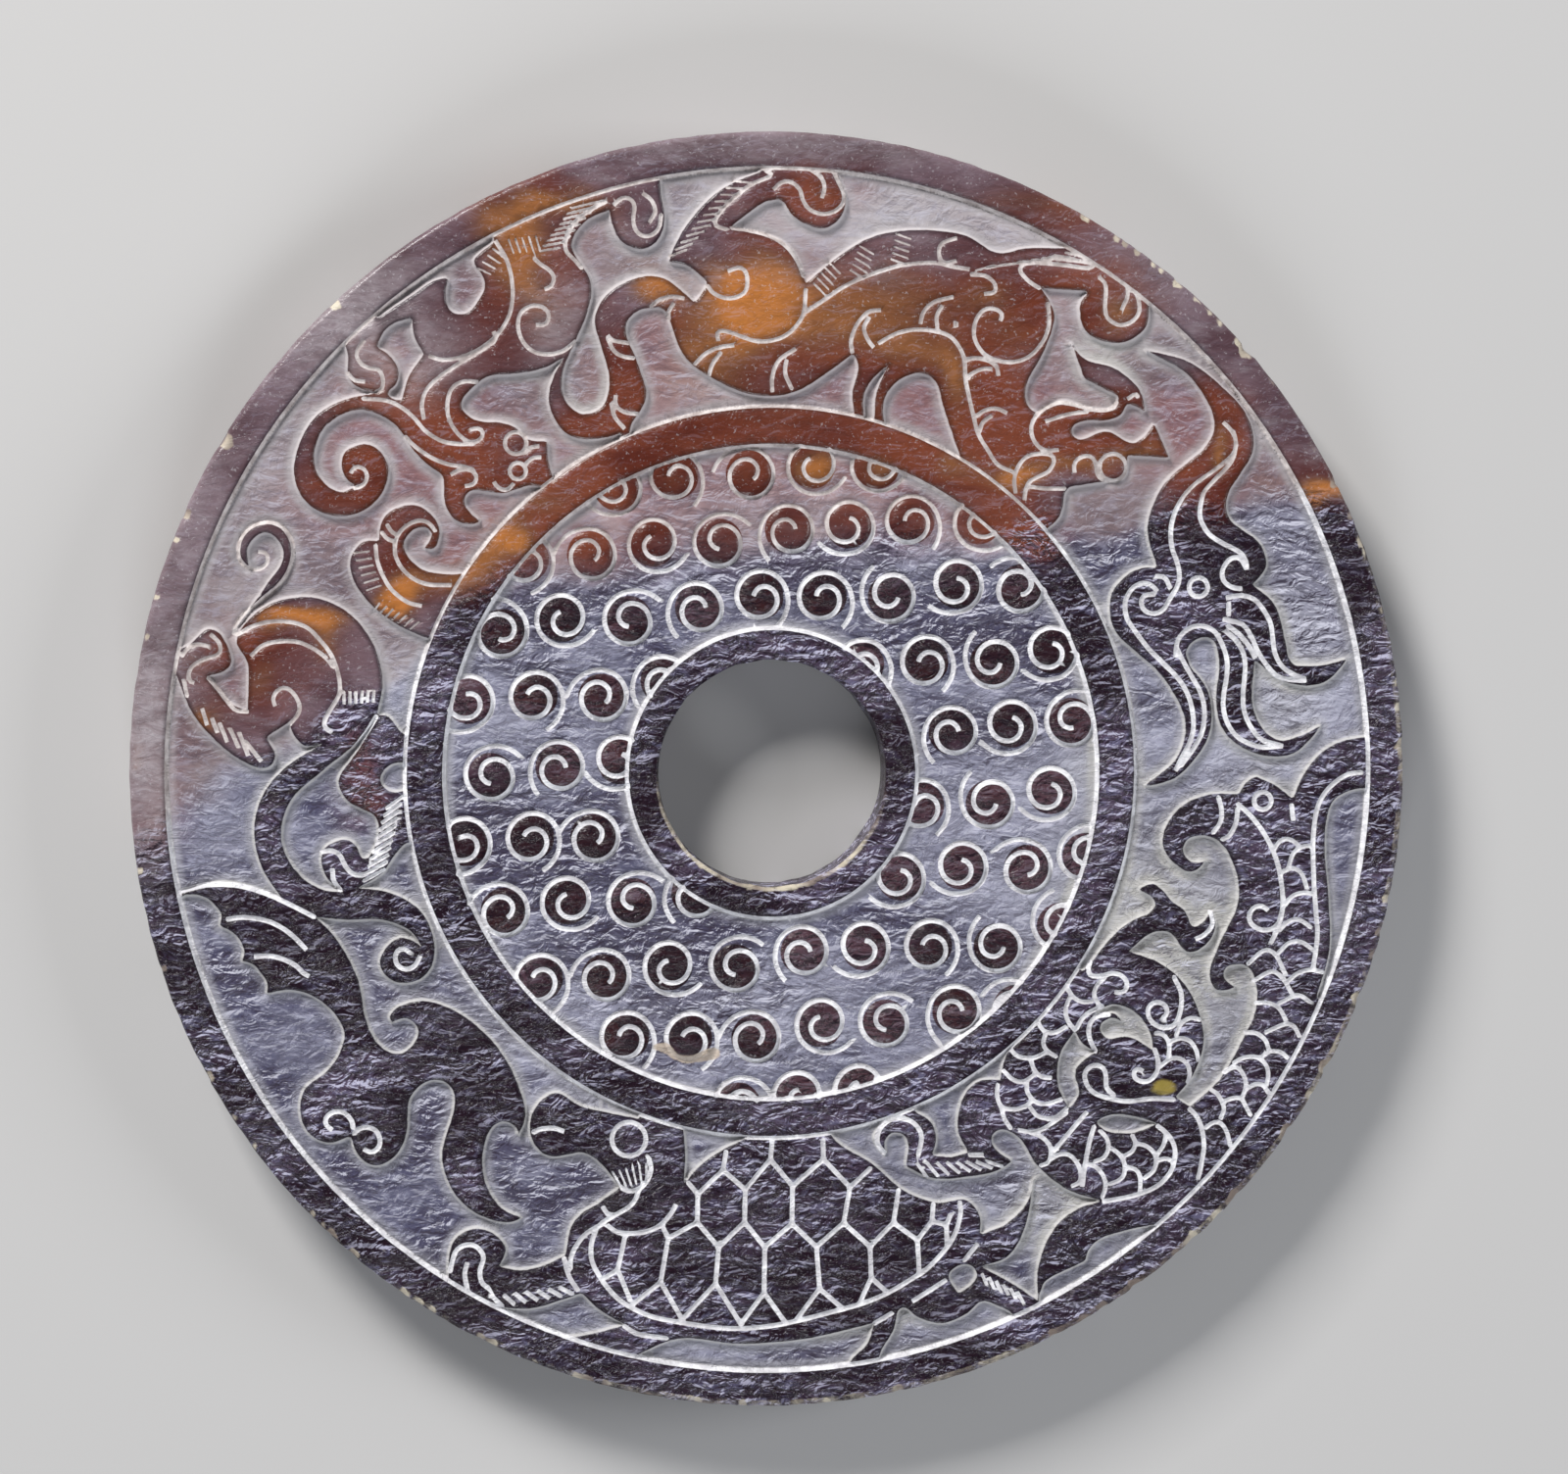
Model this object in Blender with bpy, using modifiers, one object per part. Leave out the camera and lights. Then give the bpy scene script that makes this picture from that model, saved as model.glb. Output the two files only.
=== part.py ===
"""Jade bi disc: a flat pierced disc with four spirit beasts round a field of curled grains.

Metres, +Z up. The disc lies on its plain back, which is z = 0, with the carved face up. +Y is
the top of the carving: dragon upper left, tiger at the top, phoenix and snake on the right,
tortoise at the foot, bird on the left.
"""
import math

import bmesh
import bpy
from mathutils import Matrix, Vector

# Driving sizes
DISC_DIAMETER = 0.170
THICKNESS = 0.0090
BORE_DIAMETER = 0.0301
COLLAR_WIDTH = 0.0043
FIELD_WIDTH = 0.0242
RING_WIDTH = 0.0052
RIM_WIDTH = 0.0049
EDGE_ROUNDING = 0.0009
BORE_ROUNDING = 0.0005
RELIEF_DEPTH = 0.0009
FIELD_DEPTH = 0.0008
GRAIN_DIAMETER = 0.0068
GRAIN_HEIGHT = 0.0006
GRAIN_PITCH = 0.00867
ROW_PITCH = 0.00936

# Radii that follow from them
DISC_RADIUS = DISC_DIAMETER / 2
BORE_RADIUS = BORE_DIAMETER / 2
COLLAR_RADIUS = BORE_RADIUS + COLLAR_WIDTH
FIELD_RADIUS = COLLAR_RADIUS + FIELD_WIDTH
RING_RADIUS = FIELD_RADIUS + RING_WIDTH
RIM_RADIUS = DISC_RADIUS - RIM_WIDTH

# Fineness of the round shapes
TURN_STEPS = 72
ROUNDING_STEPS = 2
OUTLINE_STEPS = 3
OUTLINE_TURN = math.radians(22)
GRAIN_SIDES = 8
OVERRUN = 0.0005

# The rows of grains: how far each row's first grain is from the middle line, as a share of
# the pitch, from the foot of the disc up. The rows climb a little to the right.
ROW_STARTS = (0.37, 0.73, 0.42, 0.87, 0.29, 0.67, 0.35, 0.81, 0.18, 0.58)
MIDDLE_ROW = 5
MIDDLE_ROW_Y = 0.00333
ROW_CLIMB = 0.085
GRAIN_TOP_SHARE = 0.74

# The carving is drawn by hand between the ring and the rim, in hundredths of the disc's
# radius, and its two border circles are a little off the middle, as they were laid out.
# S marks a sharp corner. The ground outlines run past the border circles, which trim them.
S = True
DRAWN_RING = (-0.4, -0.3, 57.3)
DRAWN_RIM = (-0.5, -0.6, 94.2)

GROUNDS = {
    "between dragon and tiger": (
        (-1, 97, S), (-1.5, 93.5), (-4.5, 92), (-8, 90.2), (-12.5, 85.8), (-15.3, 81.2),
        (-16, 79.3, S), (-13.2, 78.7), (-11.2, 77.2), (-10.1, 75.7), (-12, 73, S),
        (-14.3, 75), (-17, 76.8), (-20, 77), (-23, 76), (-26, 73.8), (-27.5, 70.5),
        (-26.6, 66.5), (-25.3, 61.5), (-26, 57.6), (-28, 56.1), (-30.3, 56.2),
        (-32.4, 58.6), (-32.5, 62.5), (-30.5, 67.2), (-28.4, 72.5), (-28.2, 76.5),
        (-30.9, 81), (-30.7, 83.2), (-28.5, 85.8), (-25.2, 87.2, S), (-24.5, 84.3),
        (-23.2, 82.3), (-20.5, 81.2), (-18.3, 82), (-17, 84), (-16.7, 86.5),
        (-17.2, 89.3), (-17.8, 97, S)),
    "over the tiger's back": (
        (-6.4, 84.6, S), (-3, 87.2), (1, 88.9), (3.2, 86.3), (7.5, 84.3), (10.4, 85.8),
        (11.4, 89), (10.3, 92.2), (9, 97, S), (25, 95.5, S), (40, 89, S), (48.5, 85, S),
        (46.3, 81.3, S), (38, 81), (35.5, 80.5), (30, 83.2), (25, 84), (15, 82.8),
        (8.8, 78.8), (5.2, 75.8, S), (3.8, 79.8), (2, 82), (-1, 83.4), (-4, 84.1)),
    "under the tiger": (
        (-22.7, 69.3), (-21.2, 71.5), (-18.8, 72.2), (-16.6, 71.8), (-15.3, 68.5),
        (-13.8, 65), (-9, 61.2), (-3, 58.8), (3, 59), (9.5, 62.8), (12.5, 65, S),
        (13.2, 63.8), (12.4, 58.5), (13, 54, S), (-22.6, 51.4, S),
        (-21.8, 54.5), (-19.7, 58), (-21, 64)),
    "behind the fore leg": (
        (14.2, 53.5, S), (14.2, 58.5), (15.5, 61), (18.1, 63.4, S), (16.2, 59), (15.7, 53, S)),
    "between the fore legs": (
        (17.6, 51.5, S), (17.2, 57), (18.2, 59.5), (20.3, 61.3), (23, 62), (25.3, 60.8),
        (26.5, 57), (28.5, 51), (30, 47, S)),
    "under the dragon's chin": (
        (-46, 60.5), (-48.2, 58), (-47.8, 56.2), (-45.5, 54.9), (-42, 54.6), (-39.7, 53.7),
        (-38.3, 52.2), (-36.6, 51.8), (-35, 51.8, S), (-34.9, 49), (-34, 45.5, S),
        (-24, 50.4, S), (-23.3, 53, S), (-26, 52.3), (-29.5, 52.1),
        (-32.3, 53.2), (-34.2, 56), (-34.7, 58.5), (-33.8, 62), (-32.2, 64.7, S),
        (-35.5, 63), (-40, 62.2), (-44, 61.8)),
    "in the dragon's coil": (
        (-64, 74.5, S), (-61.2, 70.6, S), (-56, 74), (-51.8, 76.6), (-50.2, 76.9, S),
        (-50.6, 74.5), (-50.2, 72.3), (-48.8, 71.3), (-46.8, 71.8), (-44.5, 75.5),
        (-45, 77.5), (-46.2, 79.3), (-45, 80.8), (-43, 82.3, S), (-44, 87, S)),
    "behind the dragon's ear": (
        (-61.3, 66.3, S), (-59.3, 65), (-58, 62.8), (-58.4, 60.6), (-59.7, 59),
        (-57.5, 58.1, S), (-56.5, 61.5), (-54, 65.2, S), (-55.5, 68), (-55.8, 70.7, S),
        (-58.5, 70), (-60.3, 68.5)),
    "left of the dragon": (
        (-70, 69, S), (-66.3, 66.8, S), (-65.7, 64.8), (-65.8, 62), (-64.3, 60.2),
        (-60.9, 59.3, S), (-66, 58.3), (-69, 57), (-71.8, 54.5), (-74.3, 48),
        (-72.5, 42.5), (-67, 40.3), (-61.8, 42.5), (-59.7, 47.5), (-62.2, 51.2),
        (-66, 50.5), (-66.9, 48.5), (-66.4, 46.3), (-64.8, 45, S), (-67, 44),
        (-70, 45.8), (-71.2, 49), (-69.5, 54), (-64, 56.7), (-58.5, 54.3), (-56, 50.8),
        (-53, 47.8), (-51.3, 46.5), (-51, 42.5), (-49.6, 39.9), (-47.3, 39),
        (-45.5, 39.4, S), (-47.4, 41.2), (-48, 42.8), (-46.8, 44.2), (-42, 43.8),
        (-37, 45), (-33, 43, S), (-40, 34, S), (-46, 31.5, S), (-49.3, 31.3), (-54.5, 32),
        (-57.4, 35.3), (-56.6, 37.6), (-54.3, 38.6), (-53, 37.3), (-54.3, 35.4, S),
        (-52.6, 35.4), (-52, 38.8), (-55.3, 41.9), (-59.5, 41), (-60.9, 39), (-61.3, 36.4, S),
        (-63.8, 36.3), (-65.8, 33), (-64, 28.2), (-58, 23.2), (-54.2, 21.5), (-51, 20.5, S),
        (-54, 8, S), (-57, 6.2), (-58.4, 7), (-60.2, 9.2), (-61.9, 9.4, S), (-61, 14.5),
        (-62.3, 20.3), (-66, 25.2), (-71.5, 27.7), (-78, 26.8), (-82.3, 23.5),
        (-83.5, 20.6), (-82.1, 18.2), (-81.8, 14), (-82, 10, S), (-85.2, 11.7),
        (-88.2, 15.5, S), (-85, 16.7), (-84.4, 18.2), (-86, 22), (-88, 22.8), (-91, 20.3),
        (-97, 18, S), (-93, 32, S), (-86, 47, S), (-78, 59.5, S)),
    "by the claw at the ring": (
        (-55.5, 2.2, S), (-59.5, 1.8), (-61.5, -0.5), (-59.9, -2.6), (-55.5, -2.4, S)),
    "left of the bird": (
        (-96.5, -19, S), (-92, -18.3), (-87, -16.8), (-80, -18.2), (-76.8, -19.6, S),
        (-80, -14.5), (-81.2, -9), (-80, -3.5), (-76.5, 1), (-70.4, 5, S), (-73.2, 4.6),
        (-75.1, 6.8), (-75.6, 8.3, S), (-79.2, 6, S), (-77.8, 3), (-79.2, 1.2),
        (-82.5, 2.1), (-87, 5.5), (-90.5, 9.8), (-93, 16, S), (-98, 15, S), (-99, -2, S)),
    "inside the bird's neck": (
        (-62.1, 8.7, S), (-65.5, 4.8), (-71, 0.3), (-75.5, -4), (-77, -10), (-74.5, -15.3),
        (-70.5, -18), (-67.2, -18.3, S), (-69.8, -16.3), (-70.8, -13.3), (-70, -11.2),
        (-67, -10.1), (-65.3, -11.2), (-64.2, -13.2), (-62.8, -12), (-61.8, -9),
        (-62.4, -6.4), (-66.4, -4.2), (-68, -0.8), (-66.3, 2), (-63.6, 6)),
    "round the bird": (
        (-96, -20, S), (-91.8, -18.6, S), (-88.3, -19.4), (-86.4, -21.9), (-86.7, -23.4, S),
        (-84, -25.2), (-82.9, -27.7), (-83.4, -29.1, S), (-81.8, -29.5), (-79.4, -32.5),
        (-79.5, -34.2, S), (-75.8, -33.7), (-71.3, -35.3), (-67.4, -40.6), (-70, -46.4),
        (-73.5, -49.2), (-74.4, -52.7), (-73.2, -56.2), (-70, -57.9), (-66.5, -56.9, S),
        (-65.3, -60), (-62.5, -61.6), (-59.2, -59.7), (-57.7, -56), (-57.2, -51),
        (-54, -48.2), (-50.7, -49.3), (-50.3, -53), (-52.2, -60), (-50, -66.5),
        (-45.5, -70), (-41.5, -70.8), (-39.7, -70.1, S), (-42.7, -68.7), (-45.2, -65),
        (-45.8, -60), (-44.3, -55.7), (-42.2, -54.8), (-40.4, -55.9), (-40.2, -57.1, S),
        (-39.1, -54.5), (-40, -49.5), (-42.3, -44.7), (-46, -40.2), (-50.5, -37),
        (-55.5, -35.6), (-59.5, -36.9), (-60.4, -38, S), (-60, -39, S), (-57.7, -38.3),
        (-55.8, -40.5), (-58.5, -43.9), (-62, -42.5), (-64.2, -38), (-65, -33),
        (-67, -28.3), (-70, -24), (-72, -22.2, S), (-67, -22.7), (-61, -22.8),
        (-56.8, -24.7), (-55.1, -27.2, S), (-58.5, -25.5), (-61.8, -29.3), (-59.5, -32.5),
        (-55, -31.8), (-53.2, -27.5), (-55.3, -21.5), (-60.5, -18.4), (-65.2, -17.7, S),
        (-61.5, -15.5), (-58.8, -11.9), (-57.3, -10.6, S), (-54, -10, S), (-50, -20, S),
        (-45, -30, S), (-36, -40, S), (-26, -47, S), (-20.5, -51, S), (-21, -54.5, S),
        (-26.5, -53.4), (-31, -52.1), (-34, -50.3), (-37, -52), (-38.3, -55),
        (-37.7, -58.3), (-35, -60.4), (-30, -59.8), (-27.2, -61.5), (-24, -65.4, S),
        (-28.2, -68.3), (-31.2, -70.5), (-32.8, -76.2, S), (-37, -78), (-40, -78.5),
        (-43.4, -77.8, S), (-42.2, -75.2), (-44, -72.7), (-47.3, -71.8), (-50.3, -73.6),
        (-51.2, -77), (-51.3, -84, S), (-63, -75.5, S), (-75, -64, S), (-84, -51, S),
        (-91, -37, S)),
    "behind the tortoise's foot": (
        (-44.8, -88, S), (-43.5, -84.3, S), (-38.5, -84.6), (-33.5, -83.3), (-30.2, -82.2, S),
        (-27.5, -84.8), (-23.3, -87.3, S), (-28.5, -88.7), (-33.2, -89.3, S), (-35.5, -92.5, S)),
    "under the shell": (
        (-21.5, -92.2, S), (-16, -89.8), (-5, -90.5), (5, -89.8), (16.2, -87.3, S),
        (15, -90.8), (12.5, -93.5), (12, -98, S), (-4, -98.5, S), (-20, -97, S)),
    "under the snake's coil": (
        (16.3, -96.5, S), (17, -92.7, S), (19.4, -88), (20.5, -84.8), (23, -86.3),
        (27, -87.4), (31, -85.8), (33.7, -83.8), (38.3, -86.2, S), (40, -89.8, S), (28, -94.5, S)),
    "between the toes": (
        (29.6, -82.7, S), (28, -79.8), (29.5, -78.2), (31.5, -78.1), (32.5, -79.8),
        (31.5, -81.4)),
    "round the snake's jaw": (
        (17.5, -52.5, S), (17.5, -55.2, S), (16.1, -57.7), (18, -60.4, S), (17.8, -58.2),
        (19.2, -56.8), (21.2, -57.7), (21.2, -62.2, S), (25, -64), (31, -63.9), (36, -62.8),
        (38, -61.5, S), (35.3, -59.5), (34.7, -57.5), (36.5, -56.4), (39.3, -58),
        (41.6, -61.7), (47.3, -66.3), (52.3, -67.9, S), (47.5, -69.7), (44.2, -73.2),
        (42.2, -79), (42.2, -83.9, S), (39.5, -82), (33.1, -78.3, S), (37.3, -76.8),
        (40, -72.3), (41.5, -64, S), (40.3, -68.3), (36.8, -71.7), (33, -73.2, S),
        (32.8, -70), (30.5, -67.6), (26.5, -68.1), (21, -66.2), (16, -61.9), (9.5, -57.4),
        (8, -55, S)),
    "over the snake's mouth": (
        (22.3, -50.5, S), (22.6, -53.5, S), (25.2, -55.3), (25.9, -58), (25.3, -60.4, S),
        (28, -60.8), (31, -60, S), (29.4, -56.5), (30, -51.7), (32.5, -48.7), (36, -48.5, S),
        (36.9, -44.6), (38, -43, S), (36.5, -41, S)),
    "over the shell": (
        (-14.2, -54, S), (-13.8, -60), (-14, -65, S), (-12, -62.5), (-8, -59.6),
        (-4.3, -57.8, S), (-4, -55, S)),
    "by the rim lower right": (
        (62.5, -74.5, S), (60.6, -71.8, S), (55.7, -72.8), (51.5, -74.4), (50, -76.3),
        (49.8, -77.5, S), (46, -79.3), (43.2, -81), (42.4, -83.8, S), (44, -88, S),
        (54, -82.5, S)),
    "in the scaled coil": (
        (50.2, -38.4, S), (53.5, -36.6), (57.3, -37.9), (59.7, -41.2), (60.2, -43.9, S),
        (55.8, -41.7), (53, -42), (51.7, -40.1), (53.5, -38.7), (55.2, -39.4, S),
        (53.8, -37.9)),
    "left of the scaled coil": (
        (47.7, -40.7, S), (45.3, -44.8), (45.2, -49.5), (46.9, -53.2, S), (48.5, -50.9),
        (47.9, -46.8), (51.2, -44.1, S), (49, -42.8)),
    "over the scaled foot": (
        (51.2, -55.3, S), (53, -54.3), (58, -54.6), (61, -55.6, S), (57, -57.1),
        (52.8, -56.7)),
    "by the rim at the right": (
        (97, -2.5, S), (92.7, -2.7), (88.3, -4.6), (87, -11), (87.7, -20), (88, -28),
        (86, -35.8, S), (90, -37.5, S), (95.5, -22, S), (98, -9, S)),
    "round the phoenix": (
        (62, 76, S), (58.6, 72.8, S), (58, 69), (54, 66.7), (48.8, 68.4), (47.8, 72.6),
        (48.9, 74.7), (41.7, 75.1, S), (43.8, 71), (42, 65), (39.3, 59), (41, 55.8),
        (44.5, 57.5), (49.5, 56.5), (52.8, 56.6), (53.8, 58.5), (48.5, 61.2), (46.4, 66.9, S),
        (48, 64.6), (53.5, 62.6), (57.2, 59.3), (58.1, 55.9, S), (55.5, 57.3), (54.3, 55.6),
        (52.5, 54.8), (47.5, 54.3), (46.5, 53), (47.8, 51.7), (52, 53), (56.5, 51.1),
        (59.5, 54.2, S), (61.8, 48.9, S), (55.2, 49.3, S), (54.5, 45.6), (46.2, 44.4),
        (44.8, 40), (41, 36, S), (48, 27, S), (53, 14, S), (55, 0, S), (52, -18, S),
        (46.5, -30, S), (49, -31.3, S), (56, -23.7), (60.3, -21), (57.5, -18.4, S),
        (60, -17.5), (62.7, -20.2), (65, -22), (66.5, -24.5), (69.2, -21.8, S),
        (69.8, -24), (68.8, -26.7), (65.5, -28.4), (62.8, -25.4), (60, -25.2),
        (56, -28.2, S), (60.5, -29.8), (65.3, -33.8), (68.2, -42), (66.3, -48.3),
        (63.8, -51.4, S), (66.1, -53, S), (70.5, -49), (74, -43), (76.5, -37),
        (75.3, -31), (72, -30.6), (71.2, -32.3), (73, -34, S), (70.3, -34.5), (69, -32),
        (70.3, -27.5), (73.4, -20), (72.3, -14), (69.5, -10.5), (65.7, -10.3),
        (64.5, -12.3), (66, -14.2), (68.1, -14, S), (65.5, -15.7), (61.3, -11.5),
        (63.5, -6), (68.5, -3.6), (73.2, -3.5, S), (76, -0.8), (81.8, -4.3, S),
        (83.8, 0), (87.5, 3.8), (93, 5.3, S), (97.5, 5.5, S), (97, 14, S), (94, 28, S),
        (88, 43, S), (80, 56.5, S), (72, 66.5, S)),
}

# Raised figures that stand free in a ground
ISLANDS = {
    "phoenix": (
        (58, 65.6, S), (65, 63.7), (70, 60), (74, 55.5), (75, 50), (71, 43), (71.5, 39.3),
        (76, 35.8), (77.2, 32), (75, 29.2, S), (78.3, 26.5), (80.2, 21), (82, 16.5),
        (90.2, 17.6, S), (86.5, 13.9), (80.5, 14), (75.5, 17.5, S), (75.5, 9.5), (79.5, 4.9),
        (86.2, 7.2, S), (82, 2.9), (76, 2.8), (71, 6), (69.5, 10.5), (69.9, 17),
        (68.3, 21), (64.6, 18.5), (68.2, 12.5), (68.3, 5.5), (63, -1), (58.3, -2.2, S),
        (63.5, 2.5), (64.5, 8.5), (60, 16), (53.5, 22), (53, 28), (57, 31.6), (60, 31.8, S),
        (58.5, 38.5), (61.5, 45.3), (67.5, 50.5), (68.9, 54.5), (65, 61.5)),
    "cloud curl": (
        (-84, 22.6, S), (-80.2, 27.2), (-76, 31), (-74.6, 34.6), (-76.4, 38.4), (-79, 39.3),
        (-82.4, 37.2), (-83, 34.5), (-81.4, 32.3, S), (-81.6, 35.5), (-79, 37.8),
        (-76.6, 36.2), (-76.2, 33.6), (-78.4, 30.2)),
}


def drawn_circle_radius(circle, angle):
    """Distance from the drawing's middle to one of its border circles, in one direction."""
    x, y, radius = circle
    along = x * math.cos(angle) + y * math.sin(angle)
    across = x * math.sin(angle) - y * math.cos(angle)
    return along + math.sqrt(radius ** 2 - across ** 2)


def placed(x, y):
    """A point of the drawing in metres, with its two border circles on the ring and the rim."""
    angle = math.atan2(y, x)
    ring = drawn_circle_radius(DRAWN_RING, angle)
    rim = drawn_circle_radius(DRAWN_RIM, angle)
    share = (math.hypot(x, y) - ring) / (rim - ring)
    radius = RING_RADIUS + share * (RIM_RADIUS - RING_RADIUS)
    return Vector((radius * math.cos(angle), radius * math.sin(angle), 0))


def collection(name):
    made = bpy.data.collections.new(name)
    bpy.context.scene.collection.children.link(made)
    return made


def mesh_object(name, bm, home):
    mesh = bpy.data.meshes.new(name)
    bm.to_mesh(mesh)
    bm.free()
    made = bpy.data.objects.new(name, mesh)
    home.objects.link(made)
    return made


def cutter(made):
    made.hide_render = True
    made.display_type = "WIRE"
    return made


def rounded_corner(centre, radius, start, steps):
    """Quarter arc about a centre in the profile's plane, clockwise from the start angle."""
    angles = (start - math.pi / 2 * step / steps for step in range(steps + 1))
    return [(centre[0] + radius * math.cos(a), centre[1] + radius * math.sin(a)) for a in angles]


def disc_profile():
    """Section of the disc, radius and height, from the bore's lip round the outer edge."""
    edge = EDGE_ROUNDING
    lip = BORE_ROUNDING
    floor = THICKNESS - FIELD_DEPTH
    top = [
        (COLLAR_RADIUS, THICKNESS), (COLLAR_RADIUS, floor),
        (FIELD_RADIUS, floor), (FIELD_RADIUS, THICKNESS)]
    outer_top = rounded_corner(
        (DISC_RADIUS - edge, THICKNESS - edge), edge, math.pi / 2, ROUNDING_STEPS)
    outer_foot = rounded_corner((DISC_RADIUS - edge, edge), edge, 0, ROUNDING_STEPS)
    bore_foot = rounded_corner((BORE_RADIUS + lip, lip), lip, -math.pi / 2, 1)
    bore_top = rounded_corner((BORE_RADIUS + lip, THICKNESS - lip), lip, math.pi, 1)
    return bore_top + top + outer_top + outer_foot + bore_foot


def turned_disc(home):
    """The plain disc with its sunk field: the section turned about the bore's axis."""
    bm = bmesh.new()
    points = [bm.verts.new((r, 0, z)) for r, z in disc_profile()]
    for start, end in zip(points, points[1:] + points[:1]):
        bm.edges.new((start, end))
    disc = mesh_object("jade_disc", bm, home)
    turn = disc.modifiers.new("turn", "SCREW")
    turn.steps = TURN_STEPS
    turn.render_steps = TURN_STEPS
    turn.use_merge_vertices = True
    turn.merge_threshold = 0.000001
    return disc


def smooth_outline(points):
    """Points along a closed outline: each span curves as its knots ask, in as few steps as fit."""
    knots = [placed(point[0], point[1]) for point in points]
    count = len(knots)
    for i, start in enumerate(knots):
        end = knots[(i + 1) % count]
        chord = end - start
        length = chord.length
        leave = chord.normalized()
        arrive = chord.normalized()
        if len(points[i]) == 2:
            leave = (end - knots[i - 1]).normalized()
        if len(points[(i + 1) % count]) == 2:
            arrive = (knots[(i + 2) % count] - start).normalized()
        turn = leave.angle(chord) + chord.angle(arrive)
        steps = min(OUTLINE_STEPS, max(1, math.ceil(turn / OUTLINE_TURN)))
        for step in range(steps):
            t = step / steps
            yield (
                start * (2 * t ** 3 - 3 * t ** 2 + 1) + end * (3 * t ** 2 - 2 * t ** 3)
                + leave * length * (t ** 3 - 2 * t ** 2 + t)
                + arrive * length * (t ** 3 - t ** 2))


def add_outline(curve, points):
    """One closed outline of the drawing, smooth through its points and sharp at its corners."""
    drawn = list(smooth_outline(points))
    spline = curve.splines.new("POLY")
    spline.points.add(len(drawn) - 1)
    spline.use_cyclic_u = True
    for knot, point in zip(spline.points, drawn):
        knot.co = (*point, 1)


def flat_outlines(name, outlines, depth, home):
    """Flat outlines as a solid that is cut with: a filled curve, thickened, made a mesh."""
    curve = bpy.data.curves.new(name, "CURVE")
    curve.dimensions = "2D"
    curve.fill_mode = "BOTH"
    curve.extrude = depth / 2
    for points in outlines:
        add_outline(curve, points)
    drawn = bpy.data.objects.new(name + " outline", curve)
    home.objects.link(drawn)
    bpy.context.view_layer.update()
    depsgraph = bpy.context.evaluated_depsgraph_get()
    mesh = bpy.data.meshes.new_from_object(drawn.evaluated_get(depsgraph))
    bm = bmesh.new()
    bm.from_mesh(mesh)
    bmesh.ops.remove_doubles(bm, verts=bm.verts, dist=0.0000005)
    bmesh.ops.recalc_face_normals(bm, faces=bm.faces)
    bpy.data.objects.remove(drawn)
    bpy.data.meshes.remove(mesh)
    return cutter(mesh_object(name, bm, home))


def band_between_circles(name, inner, outer, depth, home):
    """The carved band: a turned ring that the ground outlines are trimmed by."""
    bm = bmesh.new()
    section = [(inner, depth / 2), (outer, depth / 2), (outer, -depth / 2), (inner, -depth / 2)]
    points = [bm.verts.new((r, 0, z)) for r, z in section]
    for start, end in zip(points, points[1:] + points[:1]):
        bm.edges.new((start, end))
    band = mesh_object(name, bm, home)
    turn = band.modifiers.new("turn", "SCREW")
    turn.steps = TURN_STEPS
    turn.render_steps = TURN_STEPS
    turn.use_merge_vertices = True
    turn.merge_threshold = 0.000001
    return cutter(band)


def boolean(target, tool, operation):
    step = target.modifiers.new(tool.name, "BOOLEAN")
    step.operation = operation
    step.object = tool
    step.solver = "EXACT"


def ground_cutter(home):
    """Everything that is sunk between the figures, trimmed to the carved band."""
    outlines = list(GROUNDS.values()) + list(ISLANDS.values())
    ground = flat_outlines("ground", outlines, 2 * RELIEF_DEPTH, home)
    ground.location.z = THICKNESS
    band = band_between_circles("carved band", RING_RADIUS, RIM_RADIUS, 4 * RELIEF_DEPTH, home)
    band.location.z = THICKNESS
    boolean(ground, band, "INTERSECT")
    return ground


def grain_centres():
    """Middle of each grain: level rows that climb a little, filled out to the field's edges."""
    reach = FIELD_RADIUS + GRAIN_DIAMETER / 6
    inside = COLLAR_RADIUS - GRAIN_DIAMETER / 4
    rows = math.ceil(reach / ROW_PITCH) + 1
    columns = math.ceil(reach / GRAIN_PITCH) + 1
    for row in range(-rows, rows + 1):
        start = ROW_STARTS[(row + MIDDLE_ROW) % len(ROW_STARTS)]
        for column in range(-columns, columns + 1):
            x = (column + start) * GRAIN_PITCH
            y = MIDDLE_ROW_Y + row * ROW_PITCH + ROW_CLIMB * x
            if inside < math.hypot(x, y) < reach:
                yield x, y


def grain_field(home):
    """The low round grains as one mesh of separate bosses, each sunk a little in the floor."""
    bm = bmesh.new()
    floor = THICKNESS - FIELD_DEPTH
    height = GRAIN_HEIGHT + OVERRUN
    for x, y in grain_centres():
        bmesh.ops.create_cone(
            bm, cap_ends=True, segments=GRAIN_SIDES, radius1=GRAIN_DIAMETER / 2,
            radius2=GRAIN_TOP_SHARE * GRAIN_DIAMETER / 2, depth=height,
            matrix=Matrix.Translation((x, y, floor - OVERRUN + height / 2)))
    return cutter(mesh_object("grains", bm, home))


def jade():
    """Polished dark jade with an amber cast."""
    material = bpy.data.materials.new("jade")
    material.use_nodes = True
    shader = material.node_tree.nodes["Principled BSDF"]
    shader.inputs["Base Color"].default_value = (0.11, 0.085, 0.12, 1)
    shader.inputs["Roughness"].default_value = 0.3
    shader.inputs["Metallic"].default_value = 0
    return material


def build():
    for old in list(bpy.data.objects):
        bpy.data.objects.remove(old)
    parts = collection("jade bi disc")
    cutters = collection("cutters")
    disc = turned_disc(parts)
    boolean(disc, grain_field(cutters), "UNION")
    boolean(disc, ground_cutter(cutters), "DIFFERENCE")
    flats = disc.modifiers.new("join flat faces", "DECIMATE")
    flats.decimate_type = "DISSOLVE"
    flats.angle_limit = math.radians(0.2)
    disc.data.materials.append(jade())


build()
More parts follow.
